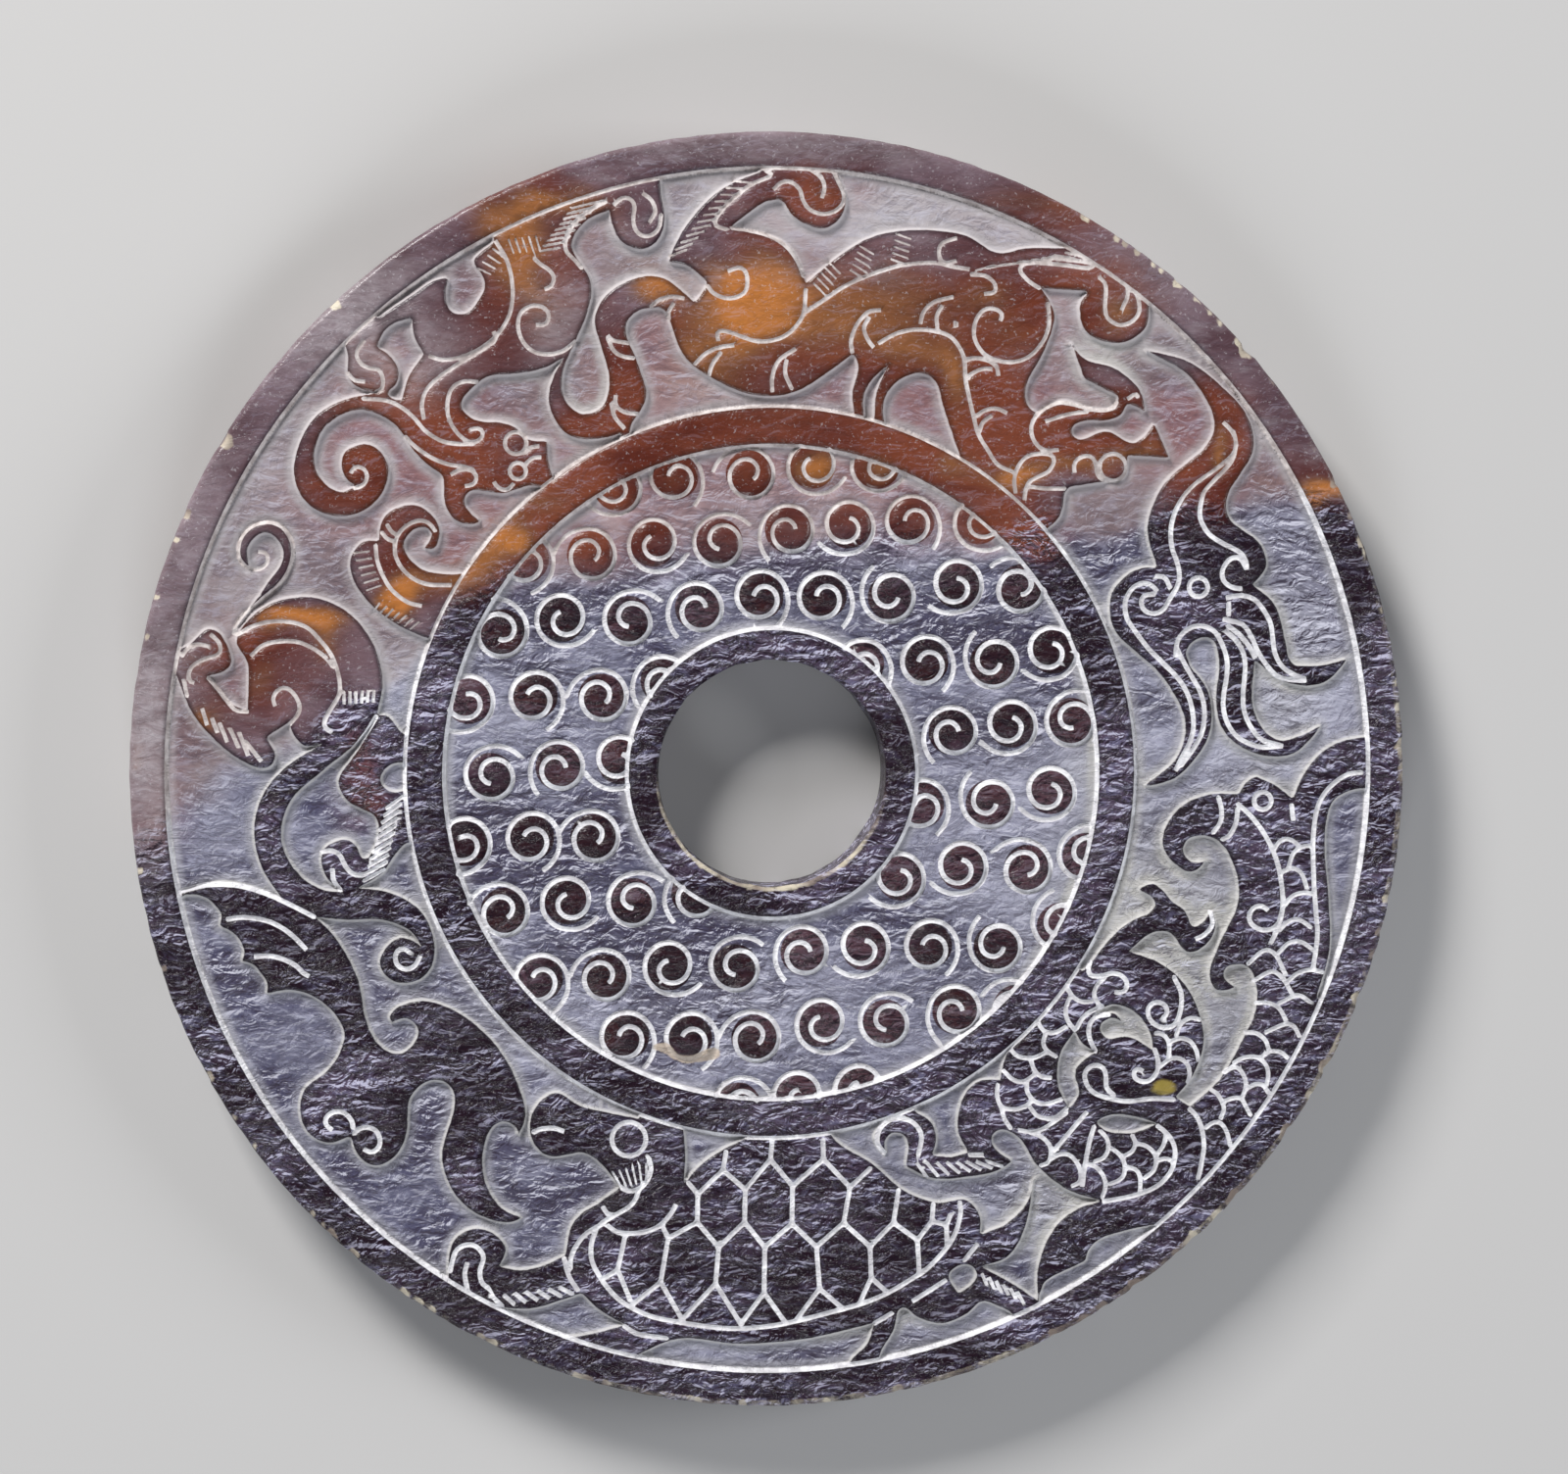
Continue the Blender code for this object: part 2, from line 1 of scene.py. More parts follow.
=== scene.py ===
"""The jade bi disc lying on its plain back, seen from above, with its carving cut fine."""
import math

import bpy
import numpy as np
from mathutils import Matrix, Vector
from mathutils.geometry import delaunay_2d_cdt


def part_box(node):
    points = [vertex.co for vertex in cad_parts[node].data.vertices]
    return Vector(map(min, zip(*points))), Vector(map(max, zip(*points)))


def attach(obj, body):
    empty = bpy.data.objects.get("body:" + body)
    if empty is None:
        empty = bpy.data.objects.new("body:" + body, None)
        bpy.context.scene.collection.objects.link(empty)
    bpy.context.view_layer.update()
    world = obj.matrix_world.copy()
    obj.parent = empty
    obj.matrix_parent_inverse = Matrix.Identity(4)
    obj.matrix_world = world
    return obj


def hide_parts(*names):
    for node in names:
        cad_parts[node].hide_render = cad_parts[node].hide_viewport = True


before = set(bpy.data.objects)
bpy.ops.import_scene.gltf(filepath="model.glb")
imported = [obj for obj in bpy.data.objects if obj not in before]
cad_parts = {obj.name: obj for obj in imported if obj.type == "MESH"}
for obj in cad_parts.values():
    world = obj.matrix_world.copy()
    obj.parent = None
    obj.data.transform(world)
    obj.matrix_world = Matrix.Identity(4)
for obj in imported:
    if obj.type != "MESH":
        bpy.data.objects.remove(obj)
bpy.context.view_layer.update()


# The view and the studio. The camera stands 650 mm over the carved face, a little to the left
# of the bore's axis and a little above it. The table is plain and pale, and the light is soft.
EYE_DISTANCE = 0.650
EYE_LEFT = math.radians(4.02)
EYE_UP = math.radians(3.35)
face_middle = Vector((0, 0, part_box("jade_disc")[1][2]))
eye_line = Vector((
    -math.sin(EYE_LEFT) * math.cos(EYE_UP), math.sin(EYE_UP), math.cos(EYE_LEFT) * math.cos(EYE_UP)))
lens = bpy.data.cameras.new("view_from_above")
lens.lens = 112.25
lens.sensor_width = 36
lens.shift_x = 0.0074
lens.shift_y = 0.0234
lens.clip_start = 0.05
camera = bpy.data.objects.new("view_from_above", lens)
camera.location = face_middle + EYE_DISTANCE * eye_line
right = Vector((0, 1, 0)).cross(eye_line).normalized()
turn = Matrix((right, eye_line.cross(right), eye_line)).transposed()
camera.rotation_euler = turn.to_euler()
bpy.context.scene.collection.objects.link(camera)
bpy.context.scene.camera = camera

table_mesh = bpy.data.meshes.new("pale_table")
reach = 2.5
table_mesh.from_pydata(
    [(-reach, -reach, 0), (reach, -reach, 0), (reach, reach, 0), (-reach, reach, 0)], [], [(0, 1, 2, 3)])
table = bpy.data.objects.new("pale_table", table_mesh)
bpy.context.scene.collection.objects.link(table)
table_paint = bpy.data.materials.new("pale_table")
table_paint.use_nodes = True
table_paint.node_tree.nodes["Principled BSDF"].inputs["Base Color"].default_value = (0.50, 0.495, 0.49, 1)
table_paint.node_tree.nodes["Principled BSDF"].inputs["Roughness"].default_value = 0.85
table_mesh.materials.append(table_paint)


def soft_light(name, place, size, power, tint):
    """A square soft box at a place, aimed at the disc's middle."""
    lamp = bpy.data.lights.new(name, "AREA")
    lamp.shape = "SQUARE"
    lamp.size = size
    lamp.energy = power
    lamp.color = tint
    holder = bpy.data.objects.new(name, lamp)
    holder.location = place
    holder.rotation_euler = (-Vector(place)).to_track_quat("-Z", "Y").to_euler()
    bpy.context.scene.collection.objects.link(holder)


soft_light("key_light", (-0.70, 1.10, 0.70), 0.42, 33.0, (1.0, 0.985, 0.97))
soft_light("side_light", (1.25, 0.15, 0.58), 0.50, 9.0, (0.95, 0.97, 1.0))
soft_light("low_light", (-0.15, -1.25, 0.58), 0.50, 10.5, (0.92, 0.95, 1.0))
world = bpy.data.worlds.new("studio")
world.use_nodes = True
world.node_tree.nodes["Background"].inputs["Color"].default_value = (0.93, 0.95, 1.0, 1)
world.node_tree.nodes["Background"].inputs["Strength"].default_value = 0.12
bpy.context.scene.world = world
bpy.context.scene.view_settings.view_transform = "Standard"


# The blank: one slab of dark jade, ground flat on both faces, drilled, with its edges eased.
# Its sizes are the solid's own, and the drawing on it is in hundredths of its radius.
low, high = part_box("jade_disc")
DISC_RADIUS = (high[0] - low[0]) / 2
FACE = high[2]
UNIT = DISC_RADIUS / 100
RELIEF_DEPTH = 0.0009
FIELD_DEPTH = 0.0008
EDGE_ROUNDING = 0.0009
BORE_ROUNDING = 0.0005
RIM = DISC_RADIUS - 0.0049
BORE = 0.01505
COLLAR = BORE + 0.0043
FIELD = COLLAR + 0.0242
RING = FIELD + 0.0052


def at_radius(radius, count):
    """A circle of points."""
    turn = np.arange(count) * (2 * np.pi / count)
    return np.stack([radius * np.cos(turn), radius * np.sin(turn)], 1)


def through(points, gap):
    """A smooth line through a few points, with a sample every gap: a Catmull-Rom spline, which
    blends each span's two ends with weights cubic in t."""
    p = np.asarray(points, float)
    p = np.vstack([2 * p[0] - p[1], p, 2 * p[-1] - p[-2]])
    t = np.linspace(0, 1, 13)[:-1, None]
    pieces = []
    for i in range(1, len(p) - 2):
        a, b, c, d = p[i - 1], p[i], p[i + 1], p[i + 2]
        pieces.append(0.5 * (
            2 * b + (c - a) * t + (2 * a - 5 * b + 4 * c - d) * t ** 2
            + (3 * b - a - 3 * c + d) * t ** 3))
    pieces.append(p[-2:-1])
    return evenly(np.vstack(pieces), gap)


def evenly(line, gap):
    """The same line with its samples a gap apart, by linear interpolation on its length."""
    length = np.concatenate([[0], np.cumsum(np.hypot(*np.diff(line, axis=0).T))])
    count = max(2, int(round(length[-1] / gap)) + 1)
    want = np.linspace(0, length[-1], count)
    return np.stack([np.interp(want, length, line[:, k]) for k in (0, 1)], 1)


def ripple(x, y, size, seed):
    """Soft unevenness between -1 and 1: eight plane waves of seeded directions, averaged."""
    chance = np.random.default_rng(seed)
    total = np.zeros(np.shape(x))
    for turn, phase, stretch in chance.random((8, 3)) * (np.pi, 2 * np.pi, 1):
        way = 2 * np.pi / (size * (0.7 + stretch))
        total = total + np.sin(way * (x * np.cos(turn) + y * np.sin(turn)) + phase)
    return total / 4


def smoothly(value, low, high):
    """0 below low and 1 above high, with level ends: the cubic 3t^2 - 2t^3 between."""
    t = np.clip((value - low) / (high - low), 0, 1)
    return t * t * (3 - 2 * t)


# The sunk grounds. They are cut away between the figures to one depth and left matt. Their
# outlines are the solid's own, smoothed between its corners.
def loops_at(height):
    """Closed outlines of the solid's flat floors at one height: the edges that one floor
    triangle has to itself, walked end to end."""
    mesh = bpy.data.objects["jade_disc"].data
    place = np.empty(len(mesh.vertices) * 3)
    mesh.vertices.foreach_get("co", place)
    mesh.calc_loop_triangles()
    corner = np.empty(len(mesh.loop_triangles) * 3, int)
    mesh.loop_triangles.foreach_get("vertices", corner)
    place, name = np.unique(np.round(place.reshape(-1, 3), 6), axis=0, return_inverse=True)
    corner = name.reshape(-1)[corner].reshape(-1, 3)
    flat = corner[np.all(np.abs(place[corner][:, :, 2] - height) < 0.00002, axis=1)]
    sides = np.concatenate([flat[:, (0, 1)], flat[:, (1, 2)], flat[:, (2, 0)]])
    held = {tuple(side) for side in sides.tolist()}
    follow = {}
    for a, b in held:
        if (b, a) not in held:
            follow.setdefault(a, []).append(b)
    loops = []
    while follow:
        start = next(iter(follow))
        loop = [start]
        while loop[-1] in follow:
            exits = follow[loop[-1]]
            step = exits.pop()
            if not exits:
                del follow[loop[-1]]
            if step == start:
                break
            loop.append(step)
        loops.append(place[loop][:, :2])
    return [loop for loop in loops if len(loop) > 3]


def softened(loop, gap):
    """A closed outline with its facets rounded and its corners kept: a Catmull-Rom spline
    through its points, whose slope is the plain chord's at a corner of over 42 degrees."""
    before = np.roll(loop, 1, axis=0)
    after = np.roll(loop, -1, axis=0)
    come = loop - before
    leave = after - loop
    bend = np.abs(np.arctan2(
        come[:, 0] * leave[:, 1] - come[:, 1] * leave[:, 0], np.sum(come * leave, axis=1)))
    reach_in = np.hypot(*come.T)[:, None]
    reach_out = np.hypot(*leave.T)[:, None]
    slope = (come / reach_in * reach_out + leave / reach_out * reach_in) / (reach_in + reach_out)
    slope /= np.maximum(np.hypot(*slope.T)[:, None], 1e-9)
    sharp = (bend > math.radians(42))[:, None]
    set_out = np.where(sharp, leave / reach_out, slope) * reach_out
    arrive = np.roll(np.where(sharp, come / reach_in, slope), -1, axis=0) * reach_out
    t = np.linspace(0, 1, 9)[:-1]
    t = t[None, :, None]
    curve = (
        loop[:, None] * (2 * t ** 3 - 3 * t ** 2 + 1) + set_out[:, None] * (t ** 3 - 2 * t ** 2 + t)
        + after[:, None] * (3 * t ** 2 - 2 * t ** 3) + arrive[:, None] * (t ** 3 - t ** 2))
    curve = curve.reshape(-1, 2)
    return evenly(np.vstack([curve, curve[:1]]), gap)


OUTLINE_GAP = 0.00042
grounds = [softened(loop, OUTLINE_GAP) for loop in loops_at(FACE - RELIEF_DEPTH)]


# The cut lines. Each is a shallow round-bottomed groove that a small wheel cut, and its matt
# floor shows cream-white on the polished jade. Their points are in hundredths of the radius, as
# drawn between two circles (x, y and radius) that stand for the solid's ring and rim.
LINE_WIDTH = 0.00074
LINE_DEPTH = 0.0003
LINE_GAP = 0.00046
DRAWN_GAP = 0.35
DRAWN_RING = (-0.4, -0.3, 57.3)
DRAWN_RIM = (-0.5, -0.6, 94.2)
cuts = []


def laid(points):
    """Drawn points in metres, moved along their radius so that the two border circles that
    they were drawn between fall on the solid's ring and rim, as part of the band's width."""
    p = np.asarray(points, float)
    turn = np.arctan2(p[:, 1], p[:, 0])
    edges = []
    for x, y, radius in (DRAWN_RING, DRAWN_RIM):
        across = x * np.sin(turn) - y * np.cos(turn)
        edges.append(x * np.cos(turn) + y * np.sin(turn) + np.sqrt(radius ** 2 - across ** 2))
    share = (np.hypot(*p.T) - edges[0]) / (edges[1] - edges[0])
    out = RING + share * (RIM - RING)
    return np.stack([out * np.cos(turn), out * np.sin(turn)], 1)


def cut(*points, width=1.0):
    """One cut line through its points, in the carved band."""
    points = np.asarray(points, float)
    line = through(points, DRAWN_GAP) if len(points) > 2 else evenly(points, DRAWN_GAP)
    cuts.append((evenly(laid(line), LINE_GAP), width * LINE_WIDTH))


def ring_cut(x, y, radius, width=1.0):
    """One small round cut line, such as an eye."""
    turn = np.linspace(0, 2 * np.pi, 25)
    cut(*np.stack([x + radius * np.cos(turn), y + radius * np.sin(turn)], 1), width=width)


def hatch(start, end, other_start, other_end, count, width=0.6):
    """A row of short strokes between two straight guides, each from one guide to the other."""
    for share in np.linspace(0, 1, count):
        here = np.add(start, share * np.subtract(end, start))
        there = np.add(other_start, share * np.subtract(other_end, other_start))
        cut(here, there, width=width)


def curls(*lines, width=1.0):
    """Several cut lines at once."""
    for line in lines:
        cut(*line, width=width)


# The striding tiger at the top: wing, haunches, belt of hatched stripes, tufts and jaw.
curls(
    ((-1, 93.2), (0, 92.6), (-1, 92), (-3, 91.2), (-5, 89.8), (-7, 88), (-8.5, 86.2), (-8.8, 84.8),
     (-7.2, 84.2)),
    ((0.2, 90.3), (1.5, 91.4), (3, 91.4), (4.3, 90.2), (4.7, 88.7), (5.8, 87.2), (7.8, 86.5),
     (9.8, 87), (11, 88.3), (11, 89.8), (9.5, 93)),
    ((6, 93.3), (7.5, 92.2), (8.1, 90.7), (7.7, 89)),
    ((-6.2, 84.4), (-3.5, 84), (-0.5, 83.2), (2, 81.7), (3.8, 79.5), (4.8, 77)),
    ((-10, 75.5), (-9, 74.3), (-7, 73.6), (-5.2, 73.9), (-4, 75), (-4, 77.4), (-5, 78.3), (-6.8, 77.8)),
    ((5.2, 75), (4.9, 71.5), (4, 69.7), (2.3, 68), (0, 67.1), (-2.5, 67), (-5, 67.8), (-7, 68.5),
     (-8.5, 68.5), (-8.4, 67.2)),
    ((5.2, 71.5), (8, 73.3), (11, 75.3), (15, 77.1), (20, 78.6), (25, 79), (28, 78.4), (30.5, 78)),
    ((28.5, 82.8), (26.3, 82), (25.8, 80.5), (26.5, 79), (28.5, 79.3)),
    ((-18.8, 72.4), (-17.5, 73.4), (-15.5, 73.9), (-13.7, 73.6)),
    ((-15.3, 72.8), (-16.1, 71.5), (-16, 70.5)),
    ((-12, 63.5), (-10.5, 65), (-8.5, 66), (-6, 66.4)), ((-8, 65.2), (-9.3, 63.5), (-9.8, 61.8)),
    ((0, 59.3), (0, 61.5), (1, 64), (3.6, 65.8)), ((2.2, 64), (2, 62), (3, 59.7)),
    ((12.4, 65.2), (12.2, 67), (13, 69.3), (14.8, 71.4), (16.8, 71.7)),
    ((15, 70.5), (14.2, 69), (14.8, 67.2), (15.7, 66)),
    ((23, 69.7), (23.5, 71.5), (25.2, 73), (28, 73.7)), ((26.3, 72.3), (25.5, 70.8), (25.6, 69)),
    ((30, 64), (31.5, 64.3), (33.5, 63.9), (34.8, 63), (35.1, 61.6)),
    ((34, 62.6), (32.5, 62.6), (31, 61.9), (30.4, 61.2)),
    ((31.7, 55.3), (33, 56.2), (34.8, 56.5), (36.4, 55.8)), ((34, 55.3), (32.7, 54.4), (32.2, 53)),
    ((-25.5, 68), (-24.7, 67.2), (-22.3, 66.8)),
    ((-25.5, 67.5), (-24.5, 65.5), (-23, 64.7), (-21.5, 64.5)),
    ((-24.3, 58.8), (-24.3, 57.3), (-23, 56.2), (-20.9, 55.9)), ((-25, 57.5), (-24.5, 55.5), (-23, 53.7)),
    ((16.5, 66.6), (19, 68), (22, 68.7), (25, 68.5), (27.5, 67.7), (29, 66), (29.8, 64), (30, 61),
     (30.5, 58.5), (31.3, 55), (32, 52.5), (33.5, 50), (35, 47.8), (37.3, 46.7)),
    ((30.8, 77.2), (33, 77), (34.5, 75.8), (34.5, 74.5), (32.9, 74.2)),
    ((41.5, 75.1), (40, 76), (38.8, 77.2), (38.4, 78), (39, 78.8), (41, 79), (45, 78.7), (49, 78.2),
     (49.8, 78.9), (47, 79.4), (43, 79.8)),
    ((35.4, 70.1), (35.7, 71), (34.8, 71.8), (33.2, 71.9), (32, 70.9), (31.3, 69), (31.5, 67),
     (32.8, 65), (35, 63.9), (37.5, 63.7), (40, 64.6), (42, 66.8), (42.9, 69), (43, 71), (42.8, 72.8)),
    ((50.9, 76.7), (51.8, 75.5), (51.7, 72), (52.2, 70.4), (54, 69.4), (55.8, 69.9), (57, 71.3),
     (57, 73), (56.5, 74.5)),
    ((55.2, 75.2), (55.2, 73.8), (54.3, 71.8)),
    ((41, 55.4), (40.3, 54), (40.3, 52.5), (41, 51), (42.5, 50), (44.5, 50.1)),
    ((41, 55.5), (42.5, 56.6), (44.5, 57.4), (46.5, 57.2), (49, 56.6), (51, 56.2), (53, 56.6),
     (53.6, 57.5)),
    ((42.5, 54.5), (46, 55.6), (49, 56)),
    ((37.8, 43.5), (37.6, 45.5), (38.2, 47.5), (39.5, 49), (41.5, 49.5), (43.3, 49.3), (43.8, 48.3),
     (43, 46.8), (41.5, 46), (40, 45.2), (39.4, 44), (39.2, 42.5)),
    ((40, 44.4), (42.5, 44.1), (45.5, 44.1)),
    ((47, 46.6), (47, 48), (48, 49), (49.5, 49.1), (50.3, 48), (50.5, 46.5), (51.2, 45.6), (52.5, 45.3),
     (54, 45.4)),
    ((55.3, 58), (56.5, 58.8), (56.9, 58.3)))
ring_cut(53, 47.4, 2.1)
ring_cut(28.4, 69.5, 0.3, 1.2)
hatch((-13.3, 81), (-3.7, 91.4), (-15.9, 80.1), (-6.2, 91.6), 12)
hatch((31.5, 77.8), (45.5, 80.6), (34.3, 78.6), (48.5, 79.9), 9)
for x, y, turn in ((8.5, 76.7, 0.95), (13.9, 79.2, 1.2), (20, 81.2, 1.4)):
    along = np.array((math.cos(turn), math.sin(turn)))
    across = np.array((along[1], -along[0]))
    middle = np.array((x, y))
    hatch(middle - 1.9 * along - 1.2 * across, middle + 2.1 * along - 1.2 * across,
          middle - 2.3 * along + 1.2 * across, middle + 1.7 * along + 1.2 * across, 5, 0.6)


# The dragon, upper left: folded body and wing, two round eyes, coiled tail and hooked claw.
curls(
    ((-42.8, 82.5), (-41.2, 79.8), (-40.4, 77), (-40.2, 74), (-40.8, 71), (-42.5, 68.3), (-45, 66.2),
     (-48, 64.8), (-51, 64.3), (-53.2, 64.9)),
    ((-43.2, 68.6), (-43, 67.3), (-45.5, 65.6), (-48.5, 63.8), (-51.5, 61.8), (-53.6, 59.8),
     (-54.4, 57.5), (-54.1, 55.3)),
    ((-36.8, 79.8), (-36, 79), (-34.5, 78), (-33.8, 76.8), (-34.3, 75.5), (-35.2, 75.1)),
    ((-36.6, 69.6), (-35.2, 69.7), (-34.6, 71), (-35.3, 72.2), (-37, 72.6), (-38.8, 71.7),
     (-39.4, 69.8), (-38.9, 67.5), (-37.3, 65.7), (-35, 65.1), (-32.5, 65.6), (-30.5, 67.1)),
    ((-25.7, 88.5), (-28.5, 87), (-31, 84.7), (-32, 82.3), (-31.8, 80.8), (-30.5, 79.5), (-29.5, 78.3)),
    ((-24.5, 88), (-23.3, 89), (-22, 88.9), (-21.3, 87.8), (-21.5, 86), (-21.3, 84.5), (-20.3, 83.3),
     (-18.7, 83.3), (-17.5, 84.5), (-17.2, 86.5)),
    ((-20, 89.7), (-18.7, 88.7), (-18.1, 87), (-19, 85.3)),
    ((-45.8, 60.9), (-47.8, 61), (-49.5, 60.2), (-50.3, 58.5), (-50.4, 56), (-49.5, 53.8),
     (-48, 52.2), (-46.5, 51.6), (-45.2, 52.3), (-45, 53.3), (-45.8, 53.8), (-46.8, 53.6)),
    ((-63.5, 58.4), (-60, 58.1), (-57.5, 57), (-55.5, 55.3), (-54, 53.5), (-51.5, 51.9),
     (-49, 51.4), (-46.5, 51.4)),
    ((-57, 52.5), (-55.5, 51), (-53, 49.3), (-50.5, 48.3), (-48, 47.9), (-46.5, 47.4)),
    ((-50, 46.7), (-48.5, 47.4), (-46.8, 47.3), (-46, 46.3), (-46.5, 45.2), (-47.8, 44.9)),
    ((-43.3, 45.5), (-42.6, 44.6), (-41.3, 44.3), (-40.3, 45.2)),
    ((-38.5, 50), (-37.5, 50.8), (-36.3, 51)), ((-38.3, 48.3), (-37.3, 49.2), (-36, 49.3)),
    ((-65.5, 47), (-64.8, 47.9), (-63.5, 47.6), (-63, 46.5), (-63.5, 45.2), (-65, 44.6)),
    ((-63.2, 67.3), (-64.2, 66), (-64.4, 64.8), (-63.6, 63.6), (-62.3, 63), (-61, 62.8), (-60.4, 61.5),
     (-60.5, 60), (-61.5, 59.4)),
    ((-65.8, 62.3), (-64.8, 61.2), (-63.2, 61)),
    ((-52.5, 38), (-53.5, 39.2), (-55, 39.6), (-57, 38.8), (-58.5, 37), (-58.8, 34.5), (-57.8, 32.3),
     (-56, 30.6), (-53.5, 29.7), (-50.2, 29.6)),
    ((-60, 39), (-59.3, 37.9), (-58.3, 37.3)), ((-60.8, 37.8), (-60, 36.8), (-58.7, 36.3)),
    ((-61.8, 35.8), (-61.6, 33.5), (-60.7, 31), (-59.3, 28.8), (-57, 27), (-54.8, 26.4)))
ring_cut(-39.9, 51.5, 1.7)
ring_cut(-39.6, 47.2, 1.3)
hatch((-43.2, 81.3), (-45.6, 78.3), (-41.6, 80), (-43.6, 77.4), 4)
hatch((-40.8, 82.7), (-36.6, 83.2), (-40, 80.6), (-36, 81.2), 5)
hatch((-32.9, 81.4), (-26.5, 88.6), (-36, 80.9), (-31, 87.5), 9)
hatch((-63.2, 34.8), (-61.3, 29.5), (-65.2, 34.6), (-63.3, 28.8), 6)
hatch((-61.3, 26.8), (-55.2, 23.9), (-62.2, 25.6), (-56.6, 22.8), 7)


# The small beast at the left, with a raised paw and a long curl over its haunch, and the
# bird's neck and wing below it.
curls(
    ((-84, 22), (-83, 24.5), (-80, 27), (-77.5, 29), (-75.5, 31.5), (-74.6, 34.5), (-75, 37),
     (-76.5, 38.8), (-78.5, 39.4), (-80.8, 38.8), (-82.5, 37.2), (-83.1, 35), (-82.7, 33.2),
     (-81.3, 32.2), (-79.7, 32.2), (-78.6, 33.2), (-78.8, 34.6), (-80, 34.8)),
    ((-83.3, 22), (-81, 23.3), (-78, 24), (-75, 23.9), (-72.5, 23), (-70.5, 21), (-69, 19),
     (-68, 16.5), (-67.6, 14), (-67.8, 12.5), (-69, 10.5), (-70, 8.7), (-70, 7.5), (-69, 6.8)),
    ((-81.3, 18.7), (-79.5, 20.3), (-77, 20.9), (-74, 20.8), (-71.5, 19.7), (-69.7, 18.3), (-68.7, 17)),
    ((-77.7, 10.9), (-78, 12), (-77.3, 13.3), (-76, 13.7), (-74.8, 12.8), (-73.9, 11), (-74.2, 9.5),
     (-75.5, 8)),
    ((-88, 15.3), (-86.5, 13.5), (-85, 11.5), (-83.8, 10.2), (-82, 10)),
    ((-87.5, 22), (-86.3, 20.8), (-86, 19.5), (-86.8, 18.7), (-88.5, 18.2), (-90.2, 17.3),
     (-91, 16), (-90.8, 14.7), (-90.2, 14.5)),
    ((-92, 18.7), (-91, 20), (-89.5, 20.5), (-88, 20.2)), ((-91.8, 15), (-91.3, 12.5)),
    ((-89, 10.5), (-88.3, 8)), ((-87.5, 9), (-86.7, 6.8)), ((-86.3, 8.2), (-85.2, 5.3)),
    ((-84.7, 7.3), (-83.5, 4.5)), ((-83.3, 6.7), (-82, 3.2)), ((-82.3, 5.3), (-80, 2.3)),
    ((-70.7, -12), (-69.3, -11.8), (-68, -12.4), (-67.2, -14), (-66.3, -15.2), (-65.3, -15.7),
     (-64.3, -15.6)),
    ((-69.1, -14.7), (-68.9, -16.5), (-67.9, -18)),
    ((-57.2, -27.9), (-58, -27.3), (-59, -27.6), (-59.4, -28.8), (-58.9, -30.1), (-57.6, -30.6),
     (-56.3, -30), (-55.5, -28.5)),
    ((-92.5, -18), (-88.5, -17.1), (-84, -17.2), (-80, -18.3), (-76, -20.1), (-72, -22.2)),
    ((-65, 4.8), (-63.5, 6.8), (-62, 9.2)))
hatch((-67, 13), (-62.3, 13.3), (-67, 11.2), (-62.5, 11.5), 6, 0.7)
hatch((-58.1, -3.4), (-60.9, -14.8), (-60.6, -5.2), (-64.2, -16.6), 11, 0.75)


# The long-legged bird, lower left: feather arcs on its wing, curls at its knee and its foot.
curls(
    ((-85.5, -22.5), (-83, -22.2), (-80, -22.6), (-77.5, -23.6), (-75.3, -25.2), (-73.3, -27.3)),
    ((-81.3, -28.4), (-79, -28.3), (-77, -28.8), (-75, -29.8), (-73.8, -31), (-73, -31.5)),
    ((-69.5, -55.8), (-70.4, -55), (-70.3, -53.8), (-69, -53), (-67.5, -53.2), (-66.3, -54.5),
     (-66.2, -55.5)),
    ((-66, -56.5), (-65.3, -55.8), (-64, -55.5), (-62.6, -56), (-61.9, -57.5), (-62.2, -58.8),
     (-63.3, -59.5), (-64.4, -59)),
    ((-51, -78.5), (-50.6, -76.8), (-50, -75.2), (-48.5, -74.3), (-47, -74.5), (-46, -75.5),
     (-45.7, -76.5), (-46.3, -78.5), (-46, -80.3), (-45, -81.2)),
    ((-48.3, -77.2), (-48.7, -79), (-48.3, -81.3)))
hatch((-44.3, -82.6), (-33.6, -81.3), (-42.8, -84.1), (-31.7, -82.3), 7, 0.95)


# The tortoise at the foot: a round head with teeth, and a shell of six-sided plates.
curls(
    ((-19.5, -60.8), (-19.2, -62.5), (-19.8, -64.3), (-21, -65.5), (-22.5, -66), (-23.8, -65.5)),
    ((-21.2, -66), (-21.8, -67.5), (-23, -68.7), (-25, -69.8), (-27, -71)),
    ((-26.8, -68.5), (-26.2, -69.5), (-25, -69.8)),
    ((-37.8, -56.5), (-36.5, -56), (-34.5, -55.9), (-33, -56.4)),
    ((-27, -71.2), (-29.5, -72.7), (-31, -74.5), (-31.9, -76.5), (-32, -78.3)),
    ((-33, -76.6), (-32.2, -79.5), (-30.8, -81.7)),
    ((-28, -72.3), (-28.7, -74.5), (-28.6, -77), (-27.5, -79.3), (-26, -81.5), (-24, -83.5),
     (-21.5, -85), (-18, -86.3), (-10, -87.7), (-5, -88), (0, -87.6), (5, -86.6), (10, -85.3),
     (14, -84.2), (18, -82.6), (22, -80.3), (25, -78.2), (28.5, -74), (29.8, -70), (29.7, -68)),
    ((-26, -71.5), (-24.5, -72.5), (-22, -72.7), (-19.5, -72.3), (-17.5, -71.2), (-16, -69.5),
     (-15.3, -68.2)),
    ((-23.5, -87.5), (-21.5, -88.7), (-19, -89.2), (-16.8, -89.5)))
ring_cut(-22.7, -57.7, 2.7)
hatch((-25.3, -62.9), (-20, -61.6), (-24, -65.2), (-19.9, -64.6), 6, 0.55)
